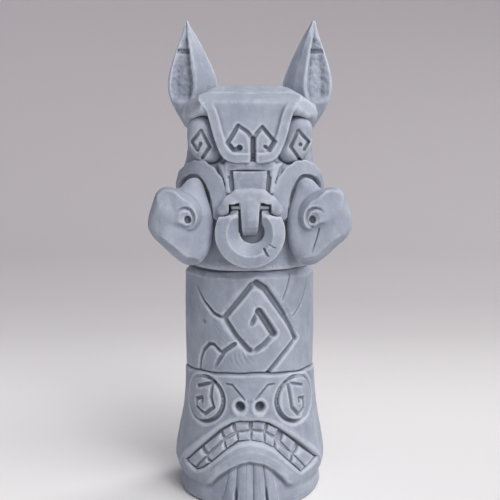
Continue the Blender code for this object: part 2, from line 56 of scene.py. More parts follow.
def linked(name, data):
    item = bpy.data.objects.new(name, data)
    bpy.context.scene.collection.objects.link(item)
    return item


def make_camera():
    data = bpy.data.cameras.new("camera")
    data.lens = LENS
    data.sensor_width = 36.0
    item = linked("camera", data)
    away = Vector((0.0, -math.cos(CAMERA_PITCH), math.sin(CAMERA_PITCH)))
    item.location = LOOK_AT + away * CAMERA_DISTANCE
    item.rotation_euler = (-away).to_track_quat("-Z", "Y").to_euler()
    bpy.context.scene.camera = item


def area_light(name, place, target, size, power, colour):
    data = bpy.data.lights.new(name, "AREA")
    data.shape = "RECTANGLE"
    data.size, data.size_y = size
    data.energy = power
    data.color = colour
    item = linked(name, data)
    item.location = place
    item.rotation_euler = (Vector(target) - Vector(place)).to_track_quat("-Z", "Y").to_euler()


def make_lights():
    area_light("key", (1.95, -1.75, 2.6), (0, 0, 0.15), (2.4, 2.4), 70.0, (1.0, 0.985, 0.965))
    area_light("top", (0.35, -1.4, 2.3), (0, 0, 0.15), (1.1, 1.1), 21.0, (1.0, 0.99, 0.98))
    area_light("rim", (1.35, 1.2, 1.3), (0, 0, 0.17), (0.8, 1.0), 23.0, (1.0, 0.99, 0.97))
    area_light("front", (0.35, -0.78, 0.64), (0, 0, 0.2), (0.4, 0.4), 2.5, (1.0, 0.99, 0.98))
    area_light("fill", (-1.3, -1.4, 0.8), (0, 0, 0.15), (1.5, 1.5), 2.5, (0.9, 0.94, 1.0))
    world = bpy.data.worlds.new("studio")
    world.use_nodes = True
    world.node_tree.nodes["Background"].inputs["Color"].default_value = (0.62, 0.63, 0.66, 1.0)
    world.node_tree.nodes["Background"].inputs["Strength"].default_value = 0.3
    bpy.context.scene.world = world
    bpy.context.scene.view_settings.view_transform = "Standard"


def make_floor():
    """A floor that sweeps up into a wall behind the figure."""
    radius, flat_to, height, half = 0.5, 1.0, 2.6, 3.0
    profile = [(-3.0, 0.0), (flat_to, 0.0)]
    for k in range(1, 17):
        turn = math.pi / 2 * k / 16
        profile.append((flat_to + radius * math.sin(turn), radius - radius * math.cos(turn)))
    profile.append((flat_to + radius, height))
    verts = [(x, y, z) for y, z in profile for x in (-half, half)]
    faces = [(2 * i, 2 * i + 1, 2 * i + 3, 2 * i + 2) for i in range(len(profile) - 1)]
    mesh = bpy.data.meshes.new("backdrop")
    mesh.from_pydata(verts, [], faces)
    mesh.shade_smooth()
    item = linked("backdrop", mesh)
    mesh.materials.append(floor_material())


# MATERIALS
class Recipe:
    """A small helper to write node materials in few lines."""

    def __init__(self, name):
        self.material = bpy.data.materials.new(name)
        self.material.use_nodes = True
        self.nodes, self.links = self.material.node_tree.nodes, self.material.node_tree.links
        self.shader = self.nodes["Principled BSDF"]

    def node(self, kind, inputs=None, **settings):
        item = self.nodes.new("ShaderNode" + kind)
        for key, value in settings.items():
            setattr(item, key, value)
        for key, value in (inputs or {}).items():
            if isinstance(value, bpy.types.NodeSocket):
                self.links.new(value, item.inputs[key])
            else:
                item.inputs[key].default_value = value
        return item

    def noise(self, where, scale, detail=4.0, rough=0.6):
        inputs = {"Vector": where, "Scale": scale, "Detail": detail, "Roughness": rough}
        return self.node("TexNoise", inputs).outputs[0]

    def reach(self, value, low, high, to_low=0.0, to_high=1.0):
        inputs = {"Value": value, "From Min": low, "From Max": high, "To Min": to_low, "To Max": to_high}
        return self.node("MapRange", inputs).outputs[0]

    def mix(self, share, a, b, blend="MIX"):
        item = self.node("Mix", data_type="RGBA", blend_type=blend)
        for index, value in ((0, share), (6, a), (7, b)):
            if isinstance(value, bpy.types.NodeSocket):
                self.links.new(value, item.inputs[index])
            else:
                item.inputs[index].default_value = value
        return item.outputs[2]

    def bump(self, height, distance, strength=1.0, under=None):
        inputs = {"Height": height, "Distance": distance, "Strength": strength}
        if under:
            inputs["Normal"] = under
        return self.node("Bump", inputs).outputs[0]


# The floor's painted shade from front to back: its tone at shares of its depth.
FLOOR_PAINTED_SHADE = [
    (0.0, 0.70), (0.167, 0.72), (0.237, 0.74), (0.278, 0.72), (0.339, 0.65), (0.411, 0.55),
    (0.506, 0.495), (0.761, 0.465), (1.0, 0.455),
]


def floor_material():
    """Matt paper with light and shade painted into its colour: a painted falloff, lighter at the front than at
    the back, and a painted side shade, lighter at the left than at the right.
    """
    r = Recipe("backdrop_paper_painted_shade")
    r.shader.inputs["Roughness"].default_value = 0.9
    at = r.node("SeparateXYZ", {0: r.node("NewGeometry").outputs["Position"]})
    # Painted falloff: after a slight rise, the tone falls from the front of the floor to the wall behind.
    ramp = r.node("ValToRGB", {0: r.reach(at.outputs["Y"], -0.3, 1.5)})
    for _ in FLOOR_PAINTED_SHADE[2:]:
        ramp.color_ramp.elements.new(0.5)
    for stop, (place, tone) in zip(ramp.color_ramp.elements, FLOOR_PAINTED_SHADE):
        tint = 0.01 + 0.05 * place
        stop.position = place
        stop.color = (tone, tone * (1 - tint), tone, 1)
    # Painted side shade: the tone is scaled up towards the left and down towards the right.
    painted_side_shade = r.reach(at.outputs["X"], -0.6, 0.6, 1.16, 0.78)
    shade = r.node("VectorMath", {0: ramp.outputs[0], "Scale": painted_side_shade}, operation="SCALE")
    r.links.new(shade.outputs[0], r.shader.inputs["Base Color"])
    return r.material


def stone_material(name, colour, light, dark):
    """Matte stone: cloudy colour, paler edges that are partly worn and partly a painted highlight, painted shade
    in the hollows, fine grain and small pits.
    """
    r = Recipe(name)
    where = r.node("TexCoord").outputs["Object"]
    clouds = r.reach(r.noise(where, 38, 5.0), 0.35, 0.68)
    speckle = r.reach(r.noise(where, 620, 3.0, 0.7), 0.4, 0.75)
    slanted = {"Vector": where, "Scale": (1.0, 1.0, 0.55), "Rotation": (0.5, 0.35, 0.2)}
    streak_at = r.node("Mapping", slanted).outputs[0]
    streaks = r.reach(r.noise(streak_at, 150, 4.0), 0.42, 0.7)
    base = r.mix(clouds, (*dark, 1), (*colour, 1))
    base = r.mix(r.reach(streaks, 0, 1, 0.0, 0.24), base, (*light, 1))
    base = r.mix(r.reach(speckle, 0, 1, 0.0, 0.22), base, (*dark, 1))
    wear_and_shade = r.node("Attribute", attribute_name="wear_and_shade").outputs["Fac"]
    # Paler edges: partly real wear, partly a painted highlight on the edges that catch the light.
    patchy = r.reach(r.noise(where, 260, 3.0), 0.3, 0.7, 0.5, 1.4)
    worn_and_highlit_edges = r.node("Math", {0: wear_and_shade, 1: patchy}, operation="MULTIPLY").outputs[0]
    base = r.mix(r.reach(worn_and_highlit_edges, 0.1, 0.46, 0.0, 0.62), base, (*light, 1))
    # Painted shade: hollows are darkened towards half the dark colour, in place of the shade that falls in them.
    hollow = tuple(0.5 * v for v in dark)
    base = r.mix(r.reach(wear_and_shade, -0.06, -0.62, 0.0, 0.8), base, (*hollow, 1))
    r.links.new(base, r.shader.inputs["Base Color"])
    rough = r.reach(r.noise(where, 90, 4.0), 0.3, 0.7, 0.52, 0.72)
    r.links.new(rough, r.shader.inputs["Roughness"])
    r.shader.inputs["Specular IOR Level"].default_value = 0.42
    broad = r.bump(r.noise(streak_at, 210, 5.0, 0.55), 0.0007, 0.75)
    fine = r.bump(r.noise(where, 900, 3.0, 0.7), 0.00016, 0.6, broad)
    cells = r.node("TexVoronoi", {"Vector": where, "Scale": 330.0}).outputs["Distance"]
    pits = r.bump(r.reach(cells, 0.0, 0.22), 0.00022, 0.35, fine)
    r.links.new(pits, r.shader.inputs["Normal"])
    return r.material


def steel_material(name):
    """Brushed steel for the hidden dowels and pegs."""
    r = Recipe(name)
    where = r.node("TexCoord").outputs["Object"]
    drawn = r.node("Mapping", {"Vector": where, "Scale": (1.0, 1.0, 0.05)}).outputs[0]
    lines = r.noise(drawn, 1400, 3.0)
    r.links.new(r.mix(lines, (0.30, 0.31, 0.33, 1), (0.46, 0.47, 0.49, 1)), r.shader.inputs["Base Color"])
    r.shader.inputs["Metallic"].default_value = 1.0
    r.links.new(r.reach(lines, 0.3, 0.7, 0.28, 0.45), r.shader.inputs["Roughness"])
    r.links.new(r.bump(lines, 0.00006, 0.6), r.shader.inputs["Normal"])
    return r.material


# SCULPTING TOOLS
FINE_TO = 82
MARKED_WITHIN = 1.6
# How far round each point the surface is averaged to find edges, which are paled, and hollows, into which shade
# is painted; in mm.
WEAR_AND_SHADE_REACH = 1.1


def ease(low, high, value):
    """A smooth step from 0 at low to 1 at high; low may be the larger of the two."""
    t = np.clip((value - low) / (high - low), 0.0, 1.0)
    return t * t * (3.0 - 2.0 * t)


# Four layers of random values on a grid that repeats; every tool mark is read from it.
TABLE = np.random.default_rng(7).random((4, 32, 32, 32)).astype(np.float32)


def grain(points, size, layer=0):
    """Smooth noise from -1 to 1 at points of shape (..., 3)."""
    q = points / size
    base = np.floor(q).astype(np.int64)
    f = (q - base).astype(np.float32)
    f = f * f * (3 - 2 * f)
    total = 0.0
    for corner in range(8):
        step = np.array([corner & 1, corner >> 1 & 1, corner >> 2])
        i = (base + step) & 31
        weight = np.prod(np.where(step, f, 1 - f), axis=-1)
        total = total + weight * TABLE[layer % 4, i[..., 0], i[..., 1], i[..., 2]]
    return total * 2 - 1


def gouges(points, size, layer=0):
    """Scoops, as a gouge leaves them: 0 at the middle of a scoop, about 1 on the ridges between."""
    q = points / size
    base = np.floor(q).astype(np.int64)
    best = np.full(q.shape[:-1], 9.0, dtype=np.float32)
    for dx in (-1, 0, 1):
        for dy in (-1, 0, 1):
            for dz in (-1, 0, 1):
                cell = base + np.array([dx, dy, dz])
                i = cell & 31
                tables = [TABLE[(layer + k) % 4] for k in range(3)]
                seed = np.stack([table[i[..., 0], i[..., 1], i[..., 2]] for table in tables], -1)
                best = np.minimum(best, ((q - cell - seed) ** 2).sum(-1))
    return best


def hand_marks(points, layer=0, strength=1.0):
    """What hand tools leave on every surface: broad facets, scoops and a slight unevenness."""
    marks = 0.42 * (0.45 - gouges(points, 13.0, layer))
    marks = marks + 0.22 * (0.45 - gouges(points, 6.5, layer + 1))
    return strength * (marks + 0.35 * grain(points, 21.0, layer) + 0.06 * grain(points, 2.6, layer + 2))


def path_distance(s, z, points):
    """Distance to a path, and how far along it the nearest point is, from 0 to 1."""
    best = np.full(np.broadcast(s, z).shape, 1e6)
    along = np.zeros_like(best)
    lengths = [math.dist(a, b) for a, b in zip(points, points[1:])]
    total, start = sum(lengths), 0.0
    for (ax, az), (bx, bz), length in zip(points, points[1:], lengths):
        ux, uz = (bx - ax) / length, (bz - az) / length
        t = np.clip((s - ax) * ux + (z - az) * uz, 0, length)
        distance = np.hypot(s - ax - ux * t, z - az - uz * t)
        nearer = distance < best
        best = np.where(nearer, distance, best)
        along = np.where(nearer, (start + t) / total, along)
        start += length
    return best, along


def stroke(s, z, points, width, depth, wall=0.7, start=0.0, end=0.0):
    """Depth of a carved stroke. start and end are the shares of its length over which it fades."""
    distance, along = path_distance(s, z, points)
    fade = np.ones_like(distance)
    if start:
        fade = fade * np.clip(along / start, 0.0, 1.0) ** 0.7
    if end:
        fade = fade * np.clip((1 - along) / end, 0.0, 1.0) ** 0.7
    half = width / 2 * (0.35 + 0.65 * fade)
    return depth * fade * ease(0.0, 1.0, (half + wall / 2 - distance) / wall)


def strokes(s, z, lines):
    """Depth of several strokes together, each given as stroke takes it."""
    carved = np.zeros(np.broadcast(s, z).shape)
    for line in lines:
        carved = np.maximum(carved, stroke(s, z, *line))
    return carved


def outline_distance(s, z, points):
    """Signed distance to a closed outline, less than 0 inside."""
    best, inside = 1e6, False
    for (ax, az), (bx, bz) in zip(points, points[1:] + points[:1]):
        dx, dz = bx - ax, bz - az
        t = np.clip(((s - ax) * dx + (z - az) * dz) / (dx * dx + dz * dz + 1e-9), 0, 1)
        best = np.minimum(best, np.hypot(s - ax - dx * t, z - az - dz * t))
        steep = np.where(np.abs(dz) < 1e-9, 1e-9, dz)
        inside = inside ^ (((az > z) != (bz > z)) & (s < ax + dx * (z - az) / steep))
    return np.where(inside, -best, best)


def rounded(points, closed=True):
    """The same outline with its corners cut twice, so that it runs as a curve."""
    for _ in range(2):
        pairs = list(zip(points, points[1:] + (points[:1] if closed else [])))
        finer = [tuple(a + (b - a) * t for a, b in zip(p, q)) for p, q in pairs for t in (0.25, 0.75)]
        points = finer if closed else [points[0]] + finer + [points[-1]]
    return points


def merge(a, b, soft):
    """Two bodies run together, with a fillet of about the size of soft."""
    h = np.clip(0.5 + 0.5 * (b - a) / soft, 0, 1)
    return b + (a - b) * h - soft * h * (1 - h)


def trim(a, b, soft):
    """What two bodies have in common, with the edge eased."""
    return -merge(-a, -b, soft)


def cut(a, b, soft):
    """The first body with the second taken away."""
    return -merge(-a, b, soft)


def ball(x, y, z, centre, radii):
    """An ellipsoid, with a fair distance close to its surface."""
    p = [(v - c) / r for v, c, r in zip((x, y, z), centre, radii)]
    far = np.sqrt(p[0] ** 2 + p[1] ** 2 + p[2] ** 2) + 1e-6
    steep = np.sqrt(sum((v / r) ** 2 for v, r in zip(p, radii))) + 1e-6
    return far * (far - 1) / steep


def limb(x, y, z, points, radii, soft=1.0):
    """A rounded limb that follows a path, with a radius at each point."""
    best = None
    for a, b, ra, rb in zip(points, points[1:], radii, radii[1:]):
        ab = np.subtract(b, a)
        t = np.clip(((x - a[0]) * ab[0] + (y - a[1]) * ab[1] + (z - a[2]) * ab[2]) / (ab @ ab), 0, 1)
        gap = (x - a[0] - ab[0] * t) ** 2 + (y - a[1] - ab[1] * t) ** 2 + (z - a[2] - ab[2] * t) ** 2
        part = np.sqrt(gap) - (ra + (rb - ra) * t)
        best = part if best is None else merge(best, part, soft)
    return best


def slab(u, y, z, outline, front, back, edge):
    """A body with a cut outline, between a front and a back surface, with its edges rounded off."""
    side = outline_distance(u, z, outline) + edge
    face = np.maximum(front - y, y - back) + edge
    outside = np.hypot(np.maximum(side, 0), np.maximum(face, 0))
    return np.minimum(np.maximum(side, face), 0) + outside - edge


def soften(values, reach, wrap=()):
    """A running mean over reach neighbours each way, done twice along every axis."""
    for axis in range(values.ndim):
        for _ in range(2):
            mode = "wrap" if axis in wrap else "edge"
            pad = [(reach + 1, reach) if a == axis else (0, 0) for a in range(values.ndim)]
            total = np.cumsum(np.pad(values, pad, mode=mode), axis=axis, dtype=np.float64)
            size = values.shape[axis]
            high = np.take(total, np.arange(size) + 2 * reach + 1, axis=axis)
            low = np.take(total, np.arange(size), axis=axis)
            values = ((high - low) / (2 * reach + 1)).astype(np.float32)
    return values


def add_piece(name, points, faces, node, slot, wear_and_shade, body=BODY):
    """The curvature values given are more than 0 on edges that stand out and less than 0 in hollows, in mm; the
    stone material pales the edges with them and paints shade into the hollows.
    """
    mesh = bpy.data.meshes.new(name)
    mesh.from_pydata((np.asarray(points, dtype=float) * MM).tolist(), [], [tuple(f) for f in faces])
    values = np.zeros(len(mesh.vertices), dtype=np.float32)
    values[: len(wear_and_shade)] = wear_and_shade
    mesh.attributes.new("wear_and_shade", "FLOAT", "POINT").data.foreach_set("value", values)
    mesh.validate()
    mesh.shade_smooth()
    mesh.materials.append(LOOKS[slot])
    item = linked(name, mesh)
    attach(item, body)
    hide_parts(node)


def grid_faces(rows, columns, start=0, wrap=False, flip=False):
    r, c = np.meshgrid(np.arange(rows - 1), np.arange(columns if wrap else columns - 1), indexing="ij")
    d = (c + 1) % columns
    quads = np.stack([r * columns + c, r * columns + d, (r + 1) * columns + d, (r + 1) * columns + c], -1)
    quads = quads.reshape(-1, 4) + start
    return quads[:, ::-1] if flip else quads


def shell(name, angles, shares, place, node):
    """A turned body: rows of points round the axis, closed with a flat face at the foot and at the top."""
    t, a = np.meshgrid(shares, angles, indexing="ij")
    points = place(a, t)
    rows, columns = a.shape
    radius = np.hypot(points[..., 0], points[..., 1]).astype(np.float32)
    # Curvature round the body: the paler edges and the painted shade in hollows follow it.
    wear_and_shade = (radius - soften(radius, 3, wrap=(1,))).ravel()
    faces = grid_faces(rows, columns, wrap=True).tolist()
    points = points.reshape(-1, 3).tolist()
    for row, up in ((0, False), (rows - 1, True)):
        ring = list(range(row * columns, (row + 1) * columns))
        middle = np.mean([points[i] for i in ring], axis=0)
        inner = []
        for i in ring:
            inner.append(len(points))
            points.append((middle * 0.45 + np.array(points[i]) * 0.55).tolist())
        points.append(middle.tolist())
        centre = len(points) - 1
        for k in range(columns):
            j = (k + 1) % columns
            quad, tri = (ring[k], ring[j], inner[j], inner[k]), (inner[k], inner[j], centre)
            faces += [quad, tri] if up else [quad[::-1], tri[::-1]]
    add_piece(name, points, faces, node, STONE, wear_and_shade)


def inlay(node, front, back, slot):
    """A closed piece between a grid of points on the surface and the same grid further in."""
    rows, columns = front.shape[:2]
    points = np.concatenate([front.reshape(-1, 3), back.reshape(-1, 3)])
    deep = rows * columns
    faces = grid_faces(rows, columns).tolist() + grid_faces(rows, columns, deep, flip=True).tolist()
    rim = [(0, c) for c in range(columns)] + [(r, columns - 1) for r in range(1, rows)]
    rim += [(rows - 1, c) for c in range(columns - 2, -1, -1)] + [(r, 0) for r in range(rows - 2, 0, -1)]
    rim = [r * columns + c for r, c in rim]
    for a, b in zip(rim, rim[1:] + rim[:1]):
        faces.append((b, a, a + deep, b + deep))
    # Curvature over the inlay: the paler edges and the painted shade in hollows follow it.
    radius = np.hypot(front[..., 0], front[..., 1]).astype(np.float32)
    wear_and_shade = (radius - soften(radius, 3)).ravel()
    add_piece(f"{node}_carved", points, faces, node, slot, wear_and_shade)


def around(angle, radius, z):
    """Points at an angle from the front, in degrees, and a distance from the axis."""
    turn = np.radians(angle)
    return np.stack([radius * np.sin(turn), -radius * np.cos(turn), z], -1)


def front_angles(fine, coarse):
    """Angles round the body, closer together at the front."""
    front = np.arange(-FINE_TO, FINE_TO, fine)
    back = np.arange(FINE_TO, 360 - FINE_TO, coarse)
    return np.concatenate([front, back])


def unroll(points, radius):
    """Points given as an angle and a height, as lengths along the surface."""
    return [(math.radians(a) * radius, z) for a, z in points]


def carve(node, low, high, step, field, slot=STONE, body=BODY, layer=0, marks=1.0):
    """A piece carved in the solid: the surface where field, a distance in mm, is 0."""
    axes = [np.arange(a, b, step) for a, b in zip(low, high)]
    x, y, z = axes[0][:, None, None], axes[1][None, :, None], axes[2][None, None, :]
    distance = np.array(np.broadcast_to(field(x, y, z), [len(a) for a in axes]), dtype=np.float32)
    near = np.abs(distance) < MARKED_WITHIN
    i, j, k = np.nonzero(near)
    distance[near] -= hand_marks(np.stack([axes[0][i], axes[1][j], axes[2][k]], -1), layer, marks)
    grid = vdb.FloatGrid(3.0)
    grid.copyFromArray(np.clip(distance / step, -3, 3))
    points, tris, quads = grid.convertToPolygons(isovalue=0.0)
    # How far each point stands out from its surroundings or sinks below them: the stone material pales the edges
    # with it and paints shade into the hollows.
    close = np.clip(distance, -2.5, 2.5)
    wear_and_shade = soften(close, max(2, round(WEAR_AND_SHADE_REACH / step))) - close
    nearest = np.clip(np.rint(points).astype(int), 0, np.array(wear_and_shade.shape) - 1)
    wear_and_shade = wear_and_shade[nearest[:, 0], nearest[:, 1], nearest[:, 2]]
    points = points.astype(float) * step + np.array(low)
    a, b, c, d = (points[quads[:, n]] for n in range(4))
    volume = (np.cross(c - a, d - b) * (a + b + c + d)).sum()
    order = slice(None) if volume > 0 else slice(None, None, -1)
    faces = quads[:, order].tolist() + tris[:, order].tolist()
    add_piece(f"{node}_carved", points, faces, node, slot, wear_and_shade, body)


# LOWER BLOCK: the scowling face. Points on it are an angle from the front and a height.
FACE_R = 45.0
SIDE_PROFILE = [
    (0, 43.4), (1.2, 44.8), (4, 45.9), (8, 45.7), (10.6, 44.9), (12.2, 45.0), (15.5, 47.3),
    (21, 48.8), (28, 48.5), (36, 46.9), (46, 44.9), (56, 43.3), (66, 42.4), (75, 42.0),
    (86, 41.8),
]
FRONT_PROFILE = [
    (0, 46.6), (1.4, 48.2), (5, 49.2), (12, 49.7), (22, 49.6), (32, 48.9), (42, 47.2),
    (50, 45.7), (58, 44.4), (68, 43.1), (78, 42.3), (86, 41.9),
]
UPPER_LIP = [
    (-66, 19.4), (-58, 26.9), (-41, 38.4), (-25, 49.4), (-14.6, 54.6), (-8, 56.2), (0, 56),
    (7, 56.2), (15, 54.6), (23, 50.7), (38, 41.9), (50, 34.4), (62, 25.9), (70, 18.4),
]
TEETH_FOOT = [
    (-60, 14.4), (-46, 20), (-38, 23.4), (-29, 29.4), (-18, 37.7), (-9, 42.6), (0, 43.9),
    (10, 42.4), (19, 38.4), (31, 28.4), (41, 19.6), (60, 13.4),
]
LIP_EDGE = [
    (-60, 11.4), (-44, 12.4), (-36, 11.4), (-29.5, 14.4), (-23, 20), (-15, 25), (-7, 28.6),
    (0, 30.2), (10, 28.2), (17.5, 24), (24, 18.6), (28.5, 13.8), (35, 11.4), (41.5, 13),
    (47, 18.4), (60, 18.4),
]
MOUTH = [
    (-58.4, 24.3), (-41.6, 36.6), (-25, 49), (-14.6, 54.2), (-8, 55.9), (0, 55.7), (7, 55.9),
    (15, 54.2), (23, 50.4), (38, 41.4), (50, 33.4), (61.6, 25.4), (55, 22.6), (47.8, 20.8),
    (41.6, 19.6), (31, 28), (19, 38), (10, 42), (0, 43.5), (-9, 42.2), (-18, 37.3), (-29, 29),
    (-38, 22.8), (-45.4, 20.2), (-50.6, 21.2),
]
# Each tooth by its corners: top left, top right, foot right, foot left.
UPPER_TEETH = [
    [(-58, 23.8), (-42, 34.8), (-35.8, 31.2), (-47, 22)],
    [(-39.4, 36.8), (-24.6, 46.7), (-21.6, 43.2), (-34, 33.4)],
    [(-23, 48.6), (-15, 52.6), (-12.8, 48.2), (-20, 44.8)],
    [(-13, 54.6), (-0.9, 55.4), (-0.7, 50.3), (-11, 49)],
    [(2.2, 55.2), (13.2, 54.4), (11.4, 49.4), (1.6, 50.6)],
    [(15, 52.8), (24, 49.6), (20, 45.4), (13.4, 48.8)],
    [(28, 46.2), (39, 38.8), (33.6, 34), (25.4, 41.4)],
    [(42.4, 36), (61, 25.2), (48, 21.8), (36, 31.8)],
]
LOWER_TEETH = [
    [(-46, 21), (-36, 29.4), (-32.2, 27.4), (-40.6, 22.4)],
    [(-34.4, 31.4), (-21.6, 41.8), (-19, 37.4), (-30.4, 28.8)],
    [(-20, 42.8), (-11.2, 47.2), (-9.6, 43.3), (-18.4, 37.8)],
    [(-9.8, 48), (0.3, 49.2), (0.4, 43.8), (-9, 43.2)],
    [(1.8, 49.3), (11, 48.2), (11.4, 42), (1.2, 43.8)],
    [(12.4, 47.8), (19.4, 43.8), (18.6, 38.6), (12, 41.8)],
    [(20.6, 42.4), (33.4, 33.4), (31.4, 28.4), (20, 37.8)],
    [(35.4, 31.4), (46.6, 22), (42.4, 20.2), (33.4, 27.2)],
]
EYE_ANGLE = 44.6
EYE_HEIGHT = 66.2
EYE_SIZE = (15.6, 13.2)
EYE_GROOVE = 2.2
# Path, width and depth of each stroke of the squared spirals.
EYE_CARVINGS = [
    ([(-50, 73.4), (-34, 77.4), (-34.5, 68.2), (-31.4, 62.2), (-40, 57)], 2.3, 1.9),
    ([(-40, 57), (-50.4, 60.2), (-51.2, 65)], 2.0, 1.5),
    ([(-51.2, 65), (-44, 66.8), (-44, 64.6)], 2.4, 1.8),
    ([(50, 74), (33.4, 77.6)], 1.6, 1.2),
    ([(34.4, 76), (36.8, 61.6), (43.5, 56.2)], 2.4, 1.9),
    ([(43.5, 56.2), (50, 59.6), (50.2, 65.6)], 2.0, 1.4),
    ([(50.2, 65.6), (44.6, 66.4), (45, 64.2)], 2.0, 1.5),
]
FROWN = [(4.6, 69.2), (10, 73.6), (15.2, 77.6), (22, 78)]
WEDGE = [
    (-22, 78.6), (-15, 77.8), (-10, 73.8), (-4, 68.6), (4.4, 68.6), (10, 73.8), (15.2, 77.8),
    (22, 78.6),
]
# How far the lower lip stands out, at shares of the way up from its edge to the foot of the teeth.
LIP_SHARES = [-0.1, 0.0, 0.14, 0.34, 0.56, 0.63, 0.85, 1.0]
LIP_RELIEF = [-1.9, -1.5, 1.2, 1.8, 1.6, 1.0, 0.3, -0.7]
NOSTRIL = (6.35, 64.6, 3.3)
BEARD_TOPS = [-15.6, -9.2, 2.4, 9.8, 16.6]
BEARD_FEET = [-22.4, -10.4, 2.6, 13.4, 22.8]
# The gap left round each inlay, and how deep the pockets and the inlays go below the plain body.
TOOTH_GAP = 0.5
EYE_GAP = 0.3
POCKET_DEPTH = 5.2
TOOTH_DEPTH = 5.0
EYE_DEPTH = 4.6
BEARD_DEPTH = 2.2
TOOTH_SPREAD = 0.55
EYE_SPREAD = 0.2
SEAM_FRONT = 84.4
SEAM_SIDE = 81.2


def curve(points, angle):
    """The height, at an angle, of a line given as angles and heights."""
    a, z = zip(*points)
    return np.interp(angle, a, z)


def seam_height(angle):
    """The worn, slightly wavy joint line between the lower block and the drum."""
    facing = np.clip(np.cos(np.radians(angle)), 0, 1)
    wave = 0.35 * np.sin(np.radians(angle) * 5 + 1.0) + 0.2 * np.sin(np.radians(angle) * 13)
    return SEAM_SIDE + (SEAM_FRONT - SEAM_SIDE) * facing**1.5 + wave


def base_radius(angle, z):
    """The plain body of the lower block, before the face is carved."""
    facing = np.clip(np.cos(np.radians(angle)), 0, 1) ** 2
    side = np.interp(z, *zip(*SIDE_PROFILE))
    front = np.interp(z, *zip(*FRONT_PROFILE))
    return side + (front - side) * facing


def eye_distance(s, z, side):
    """Distance from the rim of a lower eye, in millimetres, less than 0 inside."""
    u = (s - side * math.radians(EYE_ANGLE) * FACE_R) / EYE_SIZE[0]
    v = (z - EYE_HEIGHT) / EYE_SIZE[1]
    return (np.sqrt(u * u + v * v) - 1) * (EYE_SIZE[0] + EYE_SIZE[1]) / 2


def tooth_distances(s, z):
    return [outline_distance(s, z, unroll(tooth, FACE_R)) for tooth in UPPER_TEETH + LOWER_TEETH]


def face_relief(angle, z):
    """How far the carved face stands out from the plain body of the lower block."""
    s = np.radians(angle) * FACE_R
    slope = 0.8
    above = (z - curve(UPPER_LIP, angle)) * slope
    relief = 1.1 * np.exp(-(((above - 1.9) / 2.0) ** 2)) * ease(80, 60, np.abs(angle))
    relief += 1.7 * np.exp(-((s / 9.5) ** 2) - ((z - 64.5) / 7.5) ** 2)
    wedge = unroll(WEDGE, FACE_R) + [(12, 90), (-12, 90)]
    relief += 0.55 * ease(0.8, -0.8, outline_distance(s, z, wedge)) * ease(80, 76, z)
    for side in (-1, 1):
        relief -= stroke(s, z, unroll([(side * a, h) for a, h in FROWN], FACE_R), 1.2, 1.2, 0.7, end=0.1)
        x, height, radius = NOSTRIL
        hole = np.hypot(s - side * x, z - height)
        relief -= 5.5 * ease(radius + 0.5, radius - 1.6, hole)
        relief += 0.7 * np.exp(-(((hole - radius - 1.4) / 1.5) ** 2))
        rim = eye_distance(s, z, side)
        inner = ease(-4, 6, -side * (s - side * math.radians(EYE_ANGLE) * FACE_R))
        reach = EYE_GROOVE * (0.7 + 0.45 * inner)
        groove = (1.3 + 2.3 * inner) * ease(reach + 0.7, reach - 0.5, rim) * ease(-0.5, 0.4, rim)
        lid = ease(3.2, 4.6, rim) * ease(7.5, 5.2, rim) * ease(70, 76, z) * (1 - inner)
        dome = 0.9 * (1 - ((rim + 14) / 14).clip(0, 1) ** 2)
        relief = np.where(rim < 0, dome - groove, relief * ease(0.0, 3.0, rim) - groove - 0.6 * lid)
    relief = relief - strokes(s, z, [(unroll(path, FACE_R), *rest, 1.0) for path, *rest in EYE_CARVINGS])
    share = (z - curve(LIP_EDGE, angle)) / (curve(TEETH_FOOT, angle) - curve(LIP_EDGE, angle))
    lip = np.interp(share, LIP_SHARES, LIP_RELIEF)
    below = np.interp(share, [-1.2, -0.35, -0.1], [0.0, -0.9, -1.7])
    reach = ease(41, 24, np.abs(angle))
    relief = np.where(z < curve(TEETH_FOOT, angle), np.where(share > -0.1, lip, below) * reach, relief)
    mouth = outline_distance(s, z, unroll(MOUTH, FACE_R))
    teeth = np.minimum.reduce(tooth_distances(s, z))
    in_mouth = -3.6 + 2.2 * ease(0.6, -0.7, teeth) + 0.5 * ease(-0.6, -2.4, teeth)
    relief += (in_mouth - relief) * ease(0.45, -0.45, mouth)
    return relief + beard_relief(angle, z)


def beard_share(angle, z):
    """Where a point lies across the beard: 0 to 4 counts its strips."""
    high = curve(LIP_EDGE, angle)
    t = np.clip((high - z) / (high + 1e-6), 0, 1)
    edges = [top + (foot - top) * t for top, foot in zip(BEARD_TOPS, BEARD_FEET)]
    share = np.full(np.broadcast(angle, t).shape, -1.0)
    for k, (left, right) in enumerate(zip(edges, edges[1:])):
        share = np.where((angle >= left) & (angle < right), k + (angle - left) / (right - left), share)
    return np.where(angle >= edges[-1], 5.0, share)


def beard_relief(angle, z):
    """How far the strips of the beard stand out, with the notches between them."""
    share = beard_share(angle, z)
    inside = (share >= 0) & (share <= 4)
    phase = share - np.floor(share)
    lobe = 1.9 * np.clip(np.sin(np.pi * phase), 0, 1) ** 0.5 * (1.15 - 0.3 * phase)
    under = ease(0.2, -1.4, z - curve(LIP_EDGE, angle))
    notches = np.minimum(np.abs(share - 1), np.abs(share - 3))
    notch = 2.2 * ease(0.16, 0.02, notches) * ease(17, 9, z)
    crease = 0.35 * ease(0.05, 0.0, np.abs(share - 1.55)) + 0.3 * ease(0.05, 0.0, np.abs(share - 2.45))
    return np.where(inside, (lobe - 0.4 - notch - crease) * under, 0.0)


def face_radius(angle, z):
    points = around(angle, FACE_R, z)
    return base_radius(angle, z) + face_relief(angle, z) + hand_marks(points, 0, 0.75)


